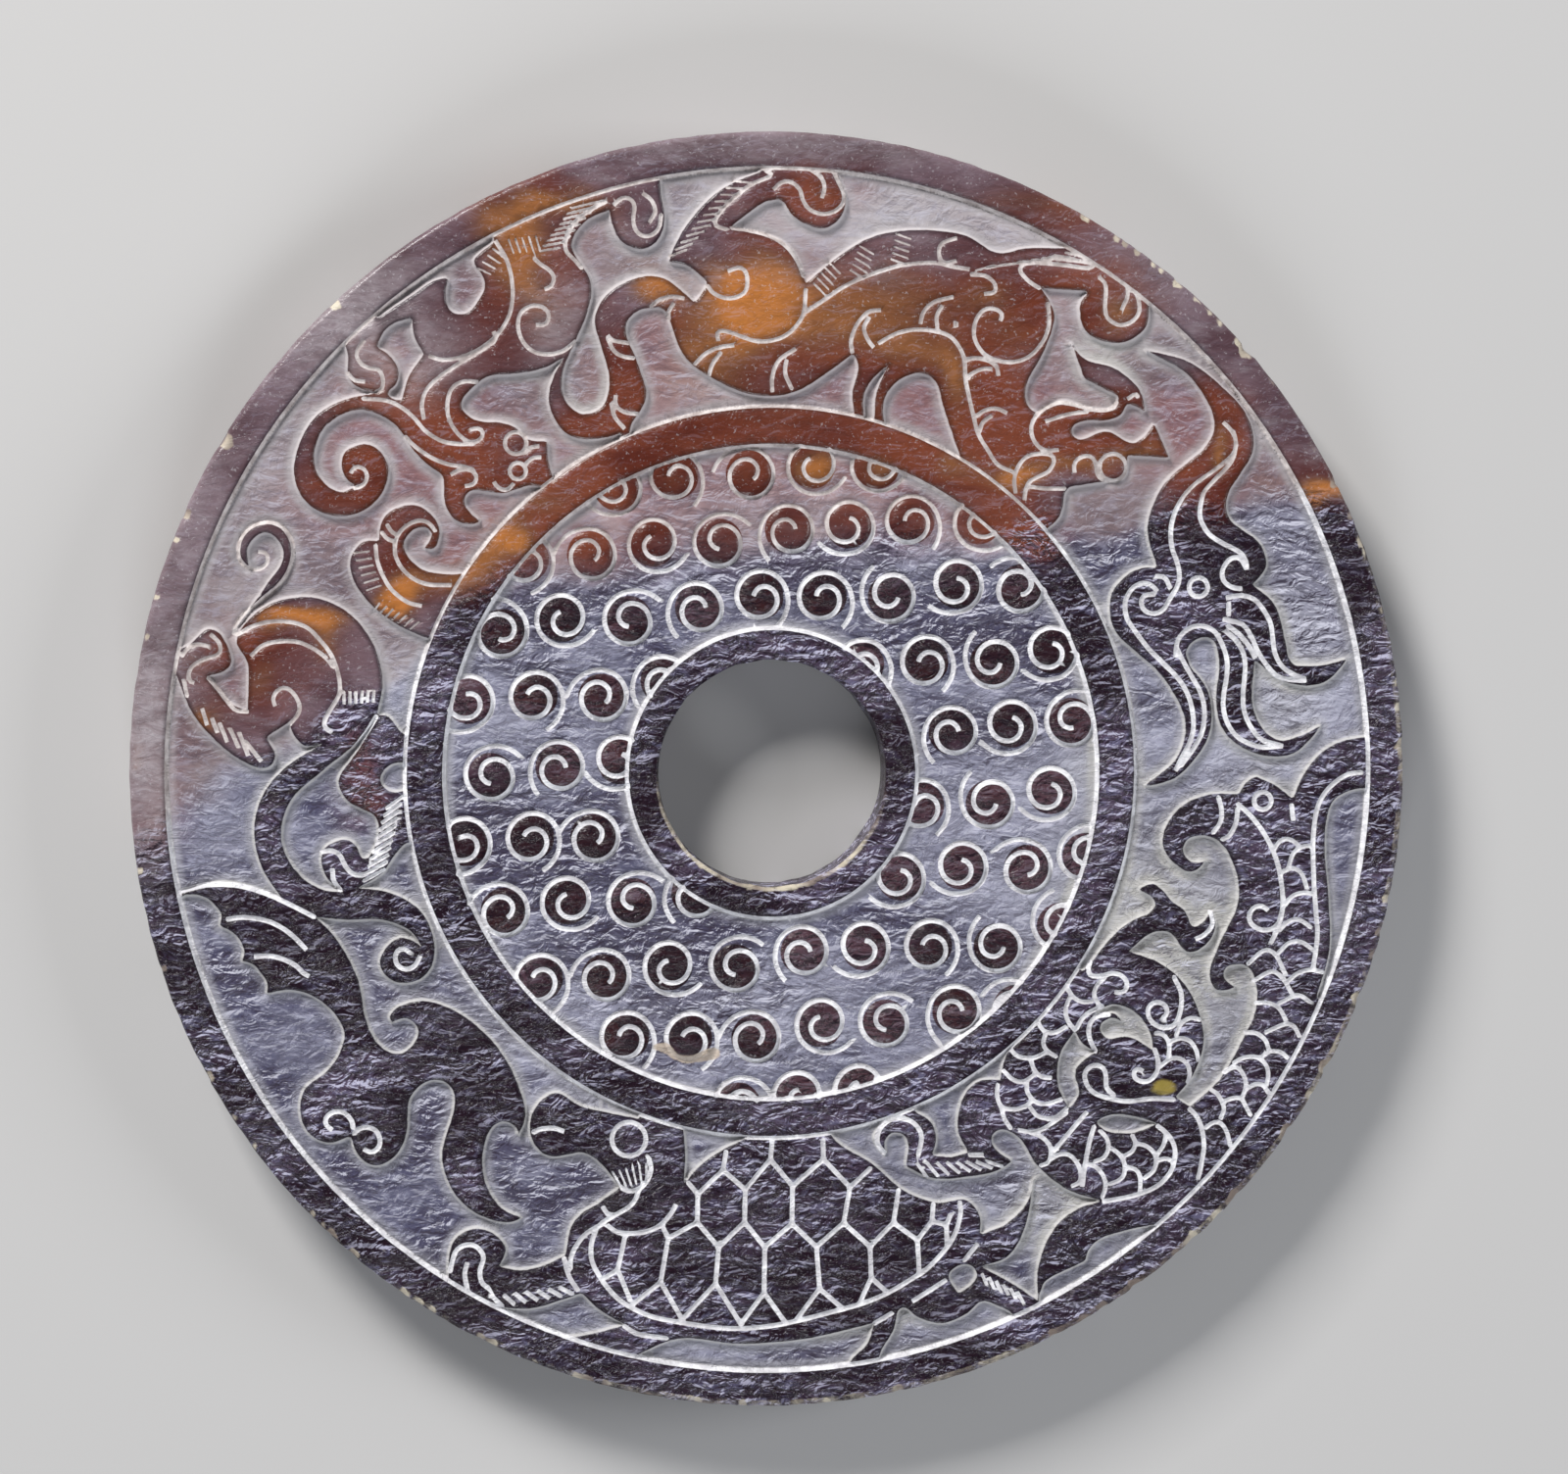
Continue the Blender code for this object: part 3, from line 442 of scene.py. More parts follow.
PLATE_CORNERS = {
    "a": (-7.3, -59.8), "b": (-7.8, -62.7), "c": (-11.8, -66.5), "d": (-11.9, -71), "e": (-4.3, -65.8),
    "f": (-4.4, -71), "g": (-0.3, -61), "h": (3.2, -65.3), "i": (3.1, -71.3), "j": (8.1, -61),
    "k": (12.3, -65.5), "l": (11.3, -71.2), "m": (-16.5, -73.5), "n": (-8.5, -75), "o": (-1.2, -75),
    "p": (7, -75), "q": (15.5, -75), "z": (19.2, -71.2), "y": (23, -74), "r": (-17.7, -80.5),
    "s": (-14.3, -86.5), "t": (-9, -80.8), "u": (-5, -87.3), "v": (-1.3, -82.3), "w": (7.5, -81.7),
    "x": (15.7, -80), "A": (0, -58), "B": (8, -58), "C": (-13.3, -64.7), "D": (15.5, -62.5),
    "E": (20, -66), "F": (25.3, -71), "G": (27.6, -71.6), "H": (27.7, -75), "I": (25.5, -68.3),
    "J": (28.2, -70), "K": (23.2, -77), "L": (23.3, -79.5), "M": (-17.5, -71.4), "N": (-22, -83.9),
    "O": (2, -87), "P": (3.8, -86.7), "Q": (11.3, -85), "R": (13.8, -84.2), "S": (18.3, -82.4),
    "T": (-23.3, -73), "U": (-24.5, -78.5), "V": (-26.8, -79.9), "W": (-22.5, -83.4)}
for line in ("ab", "bc", "Cc", "cd", "be", "ef", "eg", "gA", "gh", "hi", "hj", "jB", "jk", "kD", "kl",
             "dm", "dn", "fn", "fo", "io", "ip", "lp", "lq", "qz", "zE", "zy", "yF", "FG", "GH", "IF",
             "JG", "yK", "KL", "mM", "mr", "rN", "rs", "st", "nt", "tu", "uv", "ov", "vO", "pw", "wP",
             "wQ", "qx", "xR", "xS", "TU", "UV", "UW"):
    cut(PLATE_CORNERS[line[0]], PLATE_CORNERS[line[1]])


# The snake wound round the tortoise, lower right: coils of lapped scales, a toothed jaw, a
# clawed foot and the long scaled back that runs up beside the rim.
SCALES = (
    ((79, -12), (80, -10.8), (81.5, -10.7), (83, -11.8)),
    ((81.3, -14.8), (82, -12.8), (83.5, -11.8), (85, -11.7)),
    ((80.3, -15.8), (81.8, -15.2), (83.3, -16), (84.2, -18.3)),
    ((80.8, -21), (81.8, -19.7), (83.5, -19.1), (85.3, -19.3)),
    ((80, -25), (81.2, -23.7), (83, -23.3), (84.8, -24.5)),
    ((75, -30.3), (77.5, -28.2), (79.3, -28.8), (81, -32)),
    ((79.8, -28.6), (81.5, -27), (83.5, -26.9), (85.5, -28.3)),
    ((76, -33), (78.8, -31.5), (80.7, -32.8), (82, -35)),
    ((81.5, -33), (83, -31.8), (85, -31.3), (87, -31.7)), ((80.2, -36.5), (83, -35.3), (84.8, -36.3)),
    ((76.5, -36.5), (78.3, -36.5), (80, -37.3), (81.2, -39.3)),
    ((78, -41.2), (81, -39.9), (82.5, -40.3), (83.3, -41.8)),
    ((74.8, -41.2), (76.5, -41.3), (78, -42.5), (78.5, -44)),
    ((77.5, -45), (78.8, -44.2), (80.5, -44.4), (81.5, -45.3)),
    ((73, -46), (74.5, -45.2), (76.5, -45.1), (78, -46.2), (78.5, -47.8), (78.3, -49.3)),
    ((63.8, -41.5), (64.5, -39.7), (66, -38.8), (67.5, -39.1)),
    ((60.5, -41.2), (61.5, -41.3), (62.4, -42.2), (62.7, -43.5), (62.6, -45)),
    ((63, -42.5), (64.5, -42), (66, -42.5), (67, -44), (67.3, -45.5)),
    ((37.5, -43.5), (38.7, -44.7), (41, -45), (43, -44.2)),
    ((36.5, -47), (37.8, -48.3), (39.5, -48.8), (41.2, -47.8)),
    ((40.8, -45.5), (41.4, -47), (42.5, -48), (44, -48.2)),
    ((35.6, -49.2), (35.5, -51), (36.2, -52.7), (38, -53.2), (39.8, -52.8), (41, -51.8)),
    ((36.2, -53), (36.7, -54.7), (37.7, -56.2)),
    ((40.2, -49), (40.3, -50.5), (41.7, -52.1), (43.5, -52.3), (45.7, -51.6)),
    ((40.7, -52.8), (42, -54.3), (44.5, -54.6), (46.6, -53)),
    ((39, -56.5), (41, -56.8), (43, -56.2), (46.5, -53.8)),
    ((41.8, -39.2), (42.8, -40.7), (44.5, -41), (46.2, -40.1)),
    ((43, -41.2), (42.7, -42.8), (43.5, -44), (44.8, -44.8)),
    ((46.5, -34), (47.3, -35.3), (48.7, -36.1), (50.3, -36.1)),
    ((46.8, -35.5), (46.2, -37.2), (46.5, -39), (47.7, -40.6)),
    ((52.3, -32.3), (51, -33.7), (50.7, -35.2), (51.5, -36.6)),
    ((61.5, -46.3), (62.8, -45.3), (64.3, -45.2), (65.6, -46.2), (66, -47.8), (65.7, -49)),
    ((71.5, -47.5), (72.8, -46.7), (73.8, -46.9), (74.8, -48.5), (74.9, -50), (74.5, -51.2)),
    ((75.3, -50), (76.5, -49.4), (77.7, -49.6), (78.5, -50.8)),
    ((69.5, -50.3), (70.5, -51), (71.3, -52.5), (71.5, -53.5), (71, -54.8)),
    ((71.8, -52), (73, -51.6), (74.2, -51.7), (75, -53), (75.7, -54.3)),
    ((68.7, -56.3), (69.8, -55.5), (71, -55.6), (72, -57), (72.5, -59)),
    ((52, -56.8), (53, -58), (53.2, -59.5), (52.5, -61), (51, -61.6)),
    ((57, -57.5), (57.5, -58.7), (57, -60), (55.8, -60.7)),
    ((57.8, -58.8), (59.3, -59.2), (60.6, -60.5), (60.8, -62), (60.3, -63.3), (59, -64.3)),
    ((53.7, -59.5), (55, -60.5), (55.8, -62), (55.7, -63.8), (54.8, -64.7), (53.5, -65.2)),
    ((50, -62), (51.3, -62.5), (52.5, -64), (52.8, -65.7), (52.3, -67.3)),
    ((56.5, -62.6), (57.7, -63), (58.3, -64.3), (58.3, -66.5)), ((61, -60.5), (62, -59), (62.3, -57.5)),
    ((61.2, -61.5), (62.3, -61.2), (63.5, -61.7)),
    ((41, -57), (42.5, -57.5), (43.8, -58.8), (44.1, -60), (43.7, -61.7), (42.5, -62.2)),
    ((44.3, -61), (45.5, -60.4), (47, -60.5), (48.2, -61.7), (48.8, -63.2), (48.7, -64.8), (47.5, -65.5)))
curls(*SCALES, width=0.92)
curls(
    ((81.6, -5.2), (81.9, -7.6)), ((70, -4), (70.5, -6), (70.3, -8), (69.2, -9.5)),
    ((73, -6), (72.8, -8), (71.8, -10), (70.7, -10.6)),
    ((73, -5), (75, -6.8), (76.8, -9), (78.3, -11.5), (79.5, -14.5), (80.2, -18), (80.4, -21),
     (80, -23.5), (78.7, -24.8), (77, -24.9), (75.5, -24), (75.1, -22.8), (75.7, -21.5), (77, -21.1),
     (78, -21.8)),
    ((80.3, -22), (79.5, -25), (78.7, -26.8)),
    ((92.6, -0.2), (90.5, -0.5), (88.5, -1.7), (86.8, -3.5), (85.7, -5.8), (85.2, -9), (85.1, -12),
     (85.3, -17), (85.7, -22), (86, -26), (85.4, -31)),
    ((69, -22), (69.3, -24), (68.2, -25.5), (66.7, -26.3)),
    ((63.3, -32.3), (64.5, -35), (64.3, -38), (63.3, -40), (61.5, -40.3), (59.8, -39.3), (59.2, -37.5),
     (60.2, -36.3), (61.8, -36.6), (62.3, -38), (61.7, -38.7)),
    ((50, -29.8), (49.7, -31), (50.2, -32), (52, -32), (53.5, -31.6), (55, -32), (55.8, -33),
     (55.7, -34.2), (54.9, -34.7), (54, -34.6)),
    ((48, -40.3), (48.8, -38.8), (50.3, -37.6), (52, -36.9)),
    ((51, -44), (50.5, -43), (50, -41.8), (49.9, -40.3), (50.3, -39.2), (51.3, -38.4), (53, -38.2)),
    ((60.4, -43.8), (60.9, -45.5), (60.8, -47.3), (59.8, -48.6), (58.5, -48.9), (57.3, -48.3),
     (57.1, -47.3), (57.8, -46.8), (58.5, -47.2)),
    ((54, -51), (52.8, -49.8), (52.7, -48), (52.3, -46.7), (51, -46.2), (49.8, -46.7), (49.3, -47.8),
     (49.7, -49.3), (50.7, -50.5), (52.5, -51.3), (56, -52), (60, -51.6), (63.5, -51.8)),
    ((66, -53.3), (67.2, -54.5), (68, -56.5), (68.4, -59), (68.2, -61), (67.8, -63.3), (67.5, -64.3)),
    ((50.9, -56), (50.3, -58), (49.8, -60.5), (49.4, -63), (49.1, -65.5)),
    ((61, -56), (62.5, -57.2), (63.6, -59), (63.8, -61), (63.3, -63), (62, -64.8), (60.3, -66),
     (58, -66.9), (55.5, -67.5), (52.5, -68)),
    ((17.9, -60.2), (16.7, -58.6), (16.8, -56.6), (18.3, -54.9), (20.4, -54.5), (22.5, -55.4),
     (23.6, -57.4), (23.1, -60.3)),
    ((31.2, -60.4), (33.3, -60.4)), ((49.7, -53.7), (44.5, -59.9)), ((32.5, -74.7), (30.5, -77.3)),
    ((27.5, -80.5), (22.3, -83.8)), ((19, -85.7), (16.3, -87.3)))
ring_cut(77, -4.6, 1.4)
hatch((22.9, -61.7), (34, -61.5), (24.5, -64), (36.4, -62.3), 8, 0.75)
hatch((33.3, -79.5), (39, -82.5), (34, -81.2), (39.8, -84), 6, 0.7)


# The phoenix at the right, head down, with a crest, one round eye and streaming plumes.
curls(
    ((70.3, 54.4), (71.5, 53.2), (72.3, 51.5), (72, 49.7), (70, 47.8), (67.5, 46), (65.5, 44.5),
     (63.8, 42.5), (62.6, 40), (62.1, 37.5), (62.3, 35), (63, 33), (63.5, 31), (63.2, 29), (62, 27),
     (61, 25.3), (59.5, 24.7), (58, 25.2), (57.5, 26.5), (58, 27.5), (59.5, 27.7)),
    ((71.9, 53), (72.3, 51), (71.7, 48.5), (70.3, 46.8), (68.5, 45), (67.3, 43.5), (66.7, 41),
     (66.8, 39.3), (68, 37.2), (70, 35.8), (72, 34.8), (73.3, 34), (74, 32.7), (74.1, 31.7)),
    ((59.8, 30.5), (61.2, 30.3), (62, 28.8)),
    ((74, 31.8), (73, 33.3), (71.5, 33.2), (70.3, 31.5), (70.5, 29.8), (71.8, 28.8), (73.3, 28.6)),
    ((60, 28.2), (59, 29.2), (57.5, 29.4), (56, 28.5), (55, 26.5), (55.2, 24.2), (56.2, 22.5),
     (58.5, 19.5), (61, 17), (63.5, 14.5), (65, 12), (65.7, 9.5), (65.9, 7), (65.3, 4.5), (64, 2),
     (63.2, 0.3)),
    ((63, 18), (63.3, 20.5), (64.8, 22.2), (66.8, 22.8), (69, 22), (70.3, 20), (71.1, 17.5), (71.1, 15),
     (70.7, 12.5), (70.6, 10), (71.2, 7.8), (72.5, 5.8), (74.5, 4.5), (77, 3.8), (80, 4)),
    ((63.3, 19), (64.2, 17.3), (65.5, 15), (66.8, 12.8), (67.5, 10.5), (67.6, 8), (67, 5.5), (65.5, 3),
     (64, 1)),
    ((70.8, 22), (72.3, 20.7), (73.5, 19), (74, 17), (73.9, 14.5), (73.7, 12), (73.9, 9.5), (75, 7),
     (76.8, 5), (80, 4)),
    ((71.2, 22.8), (73, 21.5), (74.5, 19.7), (75.5, 17.9)),
    ((70.5, 23.8), (73.5, 23), (75, 21), (76, 18.8), (77.3, 16.8), (79, 15), (81, 14.4), (83.5, 14.2)),
    ((71, 27.2), (73.5, 27.5), (75.5, 26.8), (77, 25), (78, 23), (78.3, 21), (78.7, 18.5), (79.8, 16.5),
     (81.5, 15.3), (83.5, 14.5)),
    ((71.3, 26.3), (71.3, 24.5)))
ring_cut(66.5, 28.8, 1.5)


# The border lines: each step between rim, band, ring, grains and collar is marked by a line.
for radius, width in ((COLLAR, 0.8), (FIELD, 0.8), (RING, 0.85), (RIM, 0.95)):
    border = at_radius(radius, int(2 * np.pi * radius / LINE_GAP))
    cuts.append((np.vstack([border, border[:1]]), width * LINE_WIDTH))


# The grains: low round bosses, each marked by a line that runs in from a short tail, goes once
# round the boss and curls up on its top. Each entry is where a grain is, the side that its tail
# starts from in degrees, and 1 where the line winds anticlockwise or -1 where it winds clockwise.
GRAINS = (
    (-24.4, 44.6, 190, 1), (-15.3, 46.3, -57, 1), (-3.8, 46.8, 178, -1), (6.1, 48, -20, -1),
    (16.2, 48, 10, -1), (-38.6, 33.4, -80, 1), (-28.6, 34.2, 178, -1), (-18.8, 35.9, -20, -1),
    (-8.4, 36.1, 32, 1), (2.3, 38, -122, -1), (11.8, 38.7, 213, 1), (21.7, 39.4, -52, 1),
    (32.2, 39.3, -30, -1), (-42.3, 22.1, 115, -1), (-33, 24.2, -20, -1), (-22.6, 24.1, 32, 1),
    (-11.8, 25.9, -125, -1), (-2, 27.6, -60, 1), (7.9, 27.6, -58, 1), (18.4, 27.5, 120, 1),
    (28.8, 29.3, 217, 1), (38.9, 29, 145, -1), (-47.6, 11.4, -125, 1), (-37.3, 12.1, -70, 1),
    (-26.9, 12, 178, -1), (-17.2, 14.5, -135, -1), (13.8, 17, -50, 1), (23.9, 17.3, -58, 1),
    (34.5, 17.2, 120, 1), (43.9, 19, 215, 1), (-44.2, -0.3, 35, 1), (-33.6, 1, -128, -1),
    (-24, 1.9, 200, 1), (28, 6.3, -120, -1), (37.5, 7.4, 210, 1), (46.9, 8, 52, 1),
    (-48.1, -10.8, -125, 1), (-37.9, -10, -70, 1), (-28.2, -9.9, 178, -1), (23.3, -5.2, -62, 1),
    (33.9, -4.9, 120, 1), (43.7, -3.1, 210, 1), (-42.2, -21.4, 172, -1), (-32.3, -20, -28, -1),
    (-22, -20, 35, 1), (-12.4, -18.9, -125, -1), (20, -16.6, 213, 1), (29.6, -14.9, 210, 1),
    (40, -15.1, 150, -1), (49.2, -13.3, 60, 1), (-36.6, -32.1, -68, 1), (-26.5, -31.9, 178, -1),
    (-16.4, -30.5, -28, -1), (-6, -30.5, 38, 1), (4.7, -28.2, -122, -1), (14.4, -27.6, 212, 1),
    (24.6, -27.3, -60, 1), (35.2, -27.5, 120, 1), (45.2, -24.3, 100, 1), (-23.1, -41.3, -60, 1),
    (-13.2, -41.6, -68, 1), (-3, -41.6, 178, -1), (7.4, -39.6, -30, -1), (17.7, -39.4, 38, 1),
    (28.7, -37.7, -122, -1), (38.3, -37.2, 160, -1), (-5.6, -52.3, 10, 1), (4, -51, -30, -1),
    (13.4, -50, -30, -1))
SPIRAL_TURN = np.radians((0, 25, 60, 100, 150, 200, 250, 300, 360, 420, 480, 540, 590))
SPIRAL_OUT = np.array((5.5, 4.95, 4.35, 4.05, 3.85, 3.78, 3.78, 3.6, 3.1, 2.45, 1.75, 1.25, 1.15))
GRAIN_RADIUS = 3.62
GRAIN_HEIGHT = 0.00062
grain_middles = np.array([(x + 0.2, y + 0.1) for x, y, _, _ in GRAINS]) * UNIT
for (x, y, tail, hand), middle in zip(GRAINS, grain_middles):
    sweep = np.linspace(0, SPIRAL_TURN[-1], 90)
    away = np.interp(sweep, SPIRAL_TURN, SPIRAL_OUT) * UNIT
    away *= 1 + 0.035 * np.sin(sweep * 1.3 + x)
    turn = math.radians(tail) + hand * sweep
    line = evenly(middle + np.stack([away * np.cos(turn), away * np.sin(turn)], 1), LINE_GAP)
    radius = np.hypot(*line.T)
    line = line[(radius > COLLAR - 0.0002) & (radius < FIELD + 0.0002)]
    breaks = np.flatnonzero(np.hypot(*np.diff(line, axis=0).T) > 3 * LINE_GAP) + 1
    for run in np.split(line, breaks):
        if len(run) > 2:
            cuts.append((run, LINE_WIDTH))


# Charts of the carving: how far each spot of the face is from the nearest cut line and from the
# nearest ground outline. They are worked out on a square chart and read between its squares.
CHART_STEP = 0.00016
CHART_SIDE = int(2 * (DISC_RADIUS + 0.003) / CHART_STEP)
FAR = 0.0018
LINE_REACH = 0.0009
FINE_GAP = 0.00014


def chart_nearest(points, scale, reach):
    """Smallest distance from each chart spot to any of the points, each distance divided by
    its point's scale; a point only reaches the spots within reach of it."""
    chart = np.full(CHART_SIDE * CHART_SIDE, reach / scale.min())
    where = points / CHART_STEP + CHART_SIDE / 2
    base = np.floor(where).astype(int)
    span = int(reach / CHART_STEP) + 1
    for column in range(-span, span + 1):
        for row in range(-span, span + 1):
            spot = base + (column, row)
            gap = np.hypot(*(where - spot).T) * CHART_STEP
            near = gap < reach
            np.minimum.at(chart, spot[near, 1] * CHART_SIDE + spot[near, 0], gap[near] / scale[near])
    return chart.reshape(CHART_SIDE, CHART_SIDE)


def read_chart(chart, points):
    """The chart's value at each point, weighted linearly from the four spots round it."""
    where = np.clip(points / CHART_STEP + CHART_SIDE / 2, 0, CHART_SIDE - 1.001)
    base = np.floor(where).astype(int)
    u, v = (where - base).T
    column, row = base.T
    low_row = chart[row, column] * (1 - u) + chart[row, column + 1] * u
    high_row = chart[row + 1, column] * (1 - u) + chart[row + 1, column + 1] * u
    return low_row * (1 - v) + high_row * v


def inside_chart(loops):
    """True where a chart spot is inside an odd number of loops: each loop edge that a row
    crosses flips all the spots to its right."""
    flips = np.zeros((CHART_SIDE, CHART_SIDE + 1), int)
    for loop in loops:
        a = loop[:-1] / CHART_STEP + CHART_SIDE / 2
        b = loop[1:] / CHART_STEP + CHART_SIDE / 2
        first = np.ceil(np.minimum(a[:, 1], b[:, 1])).astype(int)
        last = np.ceil(np.maximum(a[:, 1], b[:, 1])).astype(int)
        for extra in range(int((last - first).max(initial=0))):
            row = first + extra
            met = row < last
            share = (row[met] - a[met, 1]) / (b[met, 1] - a[met, 1])
            column = np.ceil(a[met, 0] + share * (b[met, 0] - a[met, 0])).astype(int)
            np.add.at(flips, (row[met], column), 1)
    return np.cumsum(flips, axis=1)[:, :-1] % 2 == 1


fine_cuts = [(evenly(line, FINE_GAP), width) for line, width in cuts]
cut_points = np.vstack([line for line, _ in fine_cuts])
cut_scales = np.concatenate([np.full(len(line), width / 2) for line, width in fine_cuts])
cut_chart = chart_nearest(cut_points, cut_scales, LINE_REACH)
edge_points = np.vstack([evenly(loop, CHART_STEP) for loop in grounds])
edge_chart = chart_nearest(edge_points, np.ones(len(edge_points)), FAR)
edge_chart = np.where(inside_chart(grounds), -edge_chart, edge_chart)


# The fine surface of the face. It has rows of points along every cut line and outline and a
# looser scatter between them, joined into triangles, each lifted to the height of the carving.
# The rows beside a line are set off by shares of its width, those beside an outline by metres.
def beside(line, offsets):
    """Copies of a line moved sideways: each point goes along the line's normal."""
    along = np.gradient(line, axis=0)
    along /= np.maximum(np.hypot(*along.T)[:, None], 1e-9)
    normal = np.stack([-along[:, 1], along[:, 0]], 1)
    return [line + offset * normal for offset in offsets]


def thinned(points, room):
    """The points with those dropped that share a square of side room with an earlier one."""
    square = np.floor(points / room).astype(np.int64)
    key = square[:, 0] * 1000003 + square[:, 1]
    _, first = np.unique(key, return_index=True)
    return points[np.sort(first)]


def scatter(radius_low, radius_high, gap, seed):
    """A jittered triangular lattice over a ring."""
    steps = int(2 * radius_high / gap) + 2
    column, row = np.meshgrid(np.arange(steps), np.arange(int(steps * 1.16)))
    x = (column + 0.5 * (row % 2)) * gap - radius_high
    y = row * gap * 0.866 - radius_high
    spots = np.stack([x.ravel(), y.ravel()], 1)
    spots += np.random.default_rng(seed).uniform(-0.22, 0.22, spots.shape) * gap
    radius = np.hypot(*spots.T)
    return spots[(radius > radius_low) & (radius < radius_high)]


RIM_COUNT = 800
BORE_COUNT = 190
FLAT_OUT = DISC_RADIUS - EDGE_ROUNDING
FLAT_IN = BORE + BORE_ROUNDING
FINE_STROKE = 0.7 * LINE_WIDTH
FINE_ROWS = (0, -0.64, 0.64)
LINE_ROWS = (-0.30, 0.30, -0.56, 0.56)
OUTLINE_ROWS = (0.00010, -0.00010, 0.00038, -0.00038)
ROW_ROOM = 0.00017
CIRCLE_ROOM = 0.00035
OPEN_GAP = 0.00092
BACK_GAP = 0.0042
BACK_GAP_AT_RINGS = 0.002
rows = []
for line, width in cuts:
    offsets = FINE_ROWS if width < FINE_STROKE else LINE_ROWS
    rows += beside(line, np.array(offsets) * width)
for loop in grounds:
    rows += beside(evenly(loop, OUTLINE_GAP), OUTLINE_ROWS)
placed_rows = thinned(np.vstack(rows), ROW_ROOM)
open_spots = scatter(FLAT_IN, FLAT_OUT, OPEN_GAP, 5)
clear = read_chart(cut_chart, open_spots) > 2.0
clear &= np.abs(read_chart(edge_chart, open_spots)) > 0.0007
spots = np.vstack([placed_rows, open_spots[clear]])
radius = np.hypot(*spots.T)
spots = spots[(radius > FLAT_IN + CIRCLE_ROOM) & (radius < FLAT_OUT - CIRCLE_ROOM)]
rim_circle = at_radius(FLAT_OUT, RIM_COUNT)
bore_circle = at_radius(FLAT_IN, BORE_COUNT)


def joined(points):
    """Triangles between scattered points (Delaunay), without those that span the bore, which
    have all three corners on its edge."""
    flat = delaunay_2d_cdt([Vector(p) for p in points.tolist()], [], [], 0, 1e-8, False)
    place = np.array([tuple(p) for p in flat[0]])
    faces = np.array([face for face in flat[2] if len(face) == 3])
    away = np.hypot(place[:, 0], place[:, 1])
    faces = faces[away[faces].max(axis=1) > FLAT_IN * 1.0001]
    a, b, c = (place[faces[:, k]] for k in range(3))
    area = (b[:, 0] - a[:, 0]) * (c[:, 1] - a[:, 1]) - (b[:, 1] - a[:, 1]) * (c[:, 0] - a[:, 0])
    faces[area < 0] = faces[area < 0][:, ::-1]
    return place, faces[np.abs(area) > 1e-13]


face_points, face_triangles = joined(np.vstack([rim_circle, bore_circle, spots]))

# How far wear and unevenness move the face, its edges at the grounds, the sunk floors and the
# back.
FACE_WEAR = 0.00003
EDGE_WEAR = 0.00015
GROUND_WAVE = 0.00005
FIELD_WAVE = 0.00004
BACK_WAVE = 0.00004


def nearest_grain(points):
    """Distance from each point to the middle of its nearest grain, in grain radii."""
    away = np.full(len(points), 9.0)
    for middle in grain_middles:
        away = np.minimum(away, np.hypot(*(points - middle).T) / (GRAIN_RADIUS * UNIT))
    return away


def grain_swell(points):
    """How far up a grain each point is, 0 to 1: a low dome that ends at the grain's edge."""
    away = nearest_grain(points)
    return smoothly(1.06 - away, 0, 0.16) * (1 - 0.22 * np.minimum(away, 1) ** 2)


def carved(points):
    """Height of the carving at each point of the face, and the marks that its finish goes by.
    The worn face is lowered inside each outline, in the grain field except for its grains, and
    along each cut, whose depth falls as 1 - d^2 at d half widths from its middle."""
    x, y = points.T
    radius = np.hypot(x, y)
    apart = read_chart(edge_chart, points)
    line = read_chart(cut_chart, points)
    sunk = smoothly(-apart, -0.00008, 0.00026)
    in_field = smoothly(radius, COLLAR, COLLAR + 0.0003) * smoothly(-radius, -FIELD, -FIELD + 0.0003)
    swell = np.where(in_field > 0, grain_swell(points), 0)
    groove = np.clip(1 - line ** 2, 0, 1)
    height = FACE - FACE_WEAR * (1 + ripple(x, y, 0.011, 3))
    height -= EDGE_WEAR * np.exp(-np.maximum(apart, 0) / 0.0005) * (apart > 0)
    height -= sunk * (RELIEF_DEPTH - GROUND_WAVE * (1 + ripple(x, y, 0.006, 8)))
    between_grains = FIELD_WAVE * ripple(x, y, 0.005, 4) * (1 - swell)
    height -= in_field * (FIELD_DEPTH - swell * GRAIN_HEIGHT + between_grains)
    height -= groove * LINE_DEPTH
    in_grains = np.minimum(radius - COLLAR, FIELD - radius)
    marks = {
        "apart": 1000 * np.clip(np.minimum(apart, -in_grains), -FAR, FAR),
        "line": np.clip(line, 0, 3),
        "grain": np.where(in_grains > 0, np.clip(1 - nearest_grain(points), -1, 1), -1),
    }
    return height, marks


face_height, marks = carved(face_points)


# The edges and the plain back. The rim is eased round to a straight side, and the bore's wall
# is left a little rough. Small bruises and chips run round both, most at the foot and right.
def eased_wall(flat, side, steps, shares):
    """Radius and height of the rings down a wall: off the face by a quarter turn, straight down
    the side at each share of its height, and by a quarter turn in to the back."""
    rounding = abs(side - flat)
    leans = [math.pi / 2 * step / steps for step in range(steps + 1)]
    off_face = [
        (flat + (side - flat) * math.sin(lean), FACE - rounding * (1 - math.cos(lean)))
        for lean in leans[1:]]
    straight = [(side, FACE - rounding - share * (FACE - 2 * rounding)) for share in shares]
    to_back = [
        (flat + (side - flat) * math.cos(lean), rounding * (1 - math.sin(lean))) for lean in leans[:-1]]
    return off_face + straight + to_back


outer_wall = eased_wall(FLAT_OUT, DISC_RADIUS, 4, (0.33, 0.67))
inner_wall = eased_wall(FLAT_IN, BORE, 2, np.linspace(0.125, 0.875, 7))
back_spots = scatter(FLAT_IN + BACK_GAP_AT_RINGS, FLAT_OUT - BACK_GAP_AT_RINGS, BACK_GAP, 11)
back_points, back_triangles = joined(np.vstack([rim_circle, bore_circle, back_spots]))
back_height = BACK_WAVE * np.maximum(1 + ripple(*back_points.T, 0.02, 21), 0)
back_height = back_height * smoothly(FLAT_OUT - np.hypot(*back_points.T), 0, 0.004)


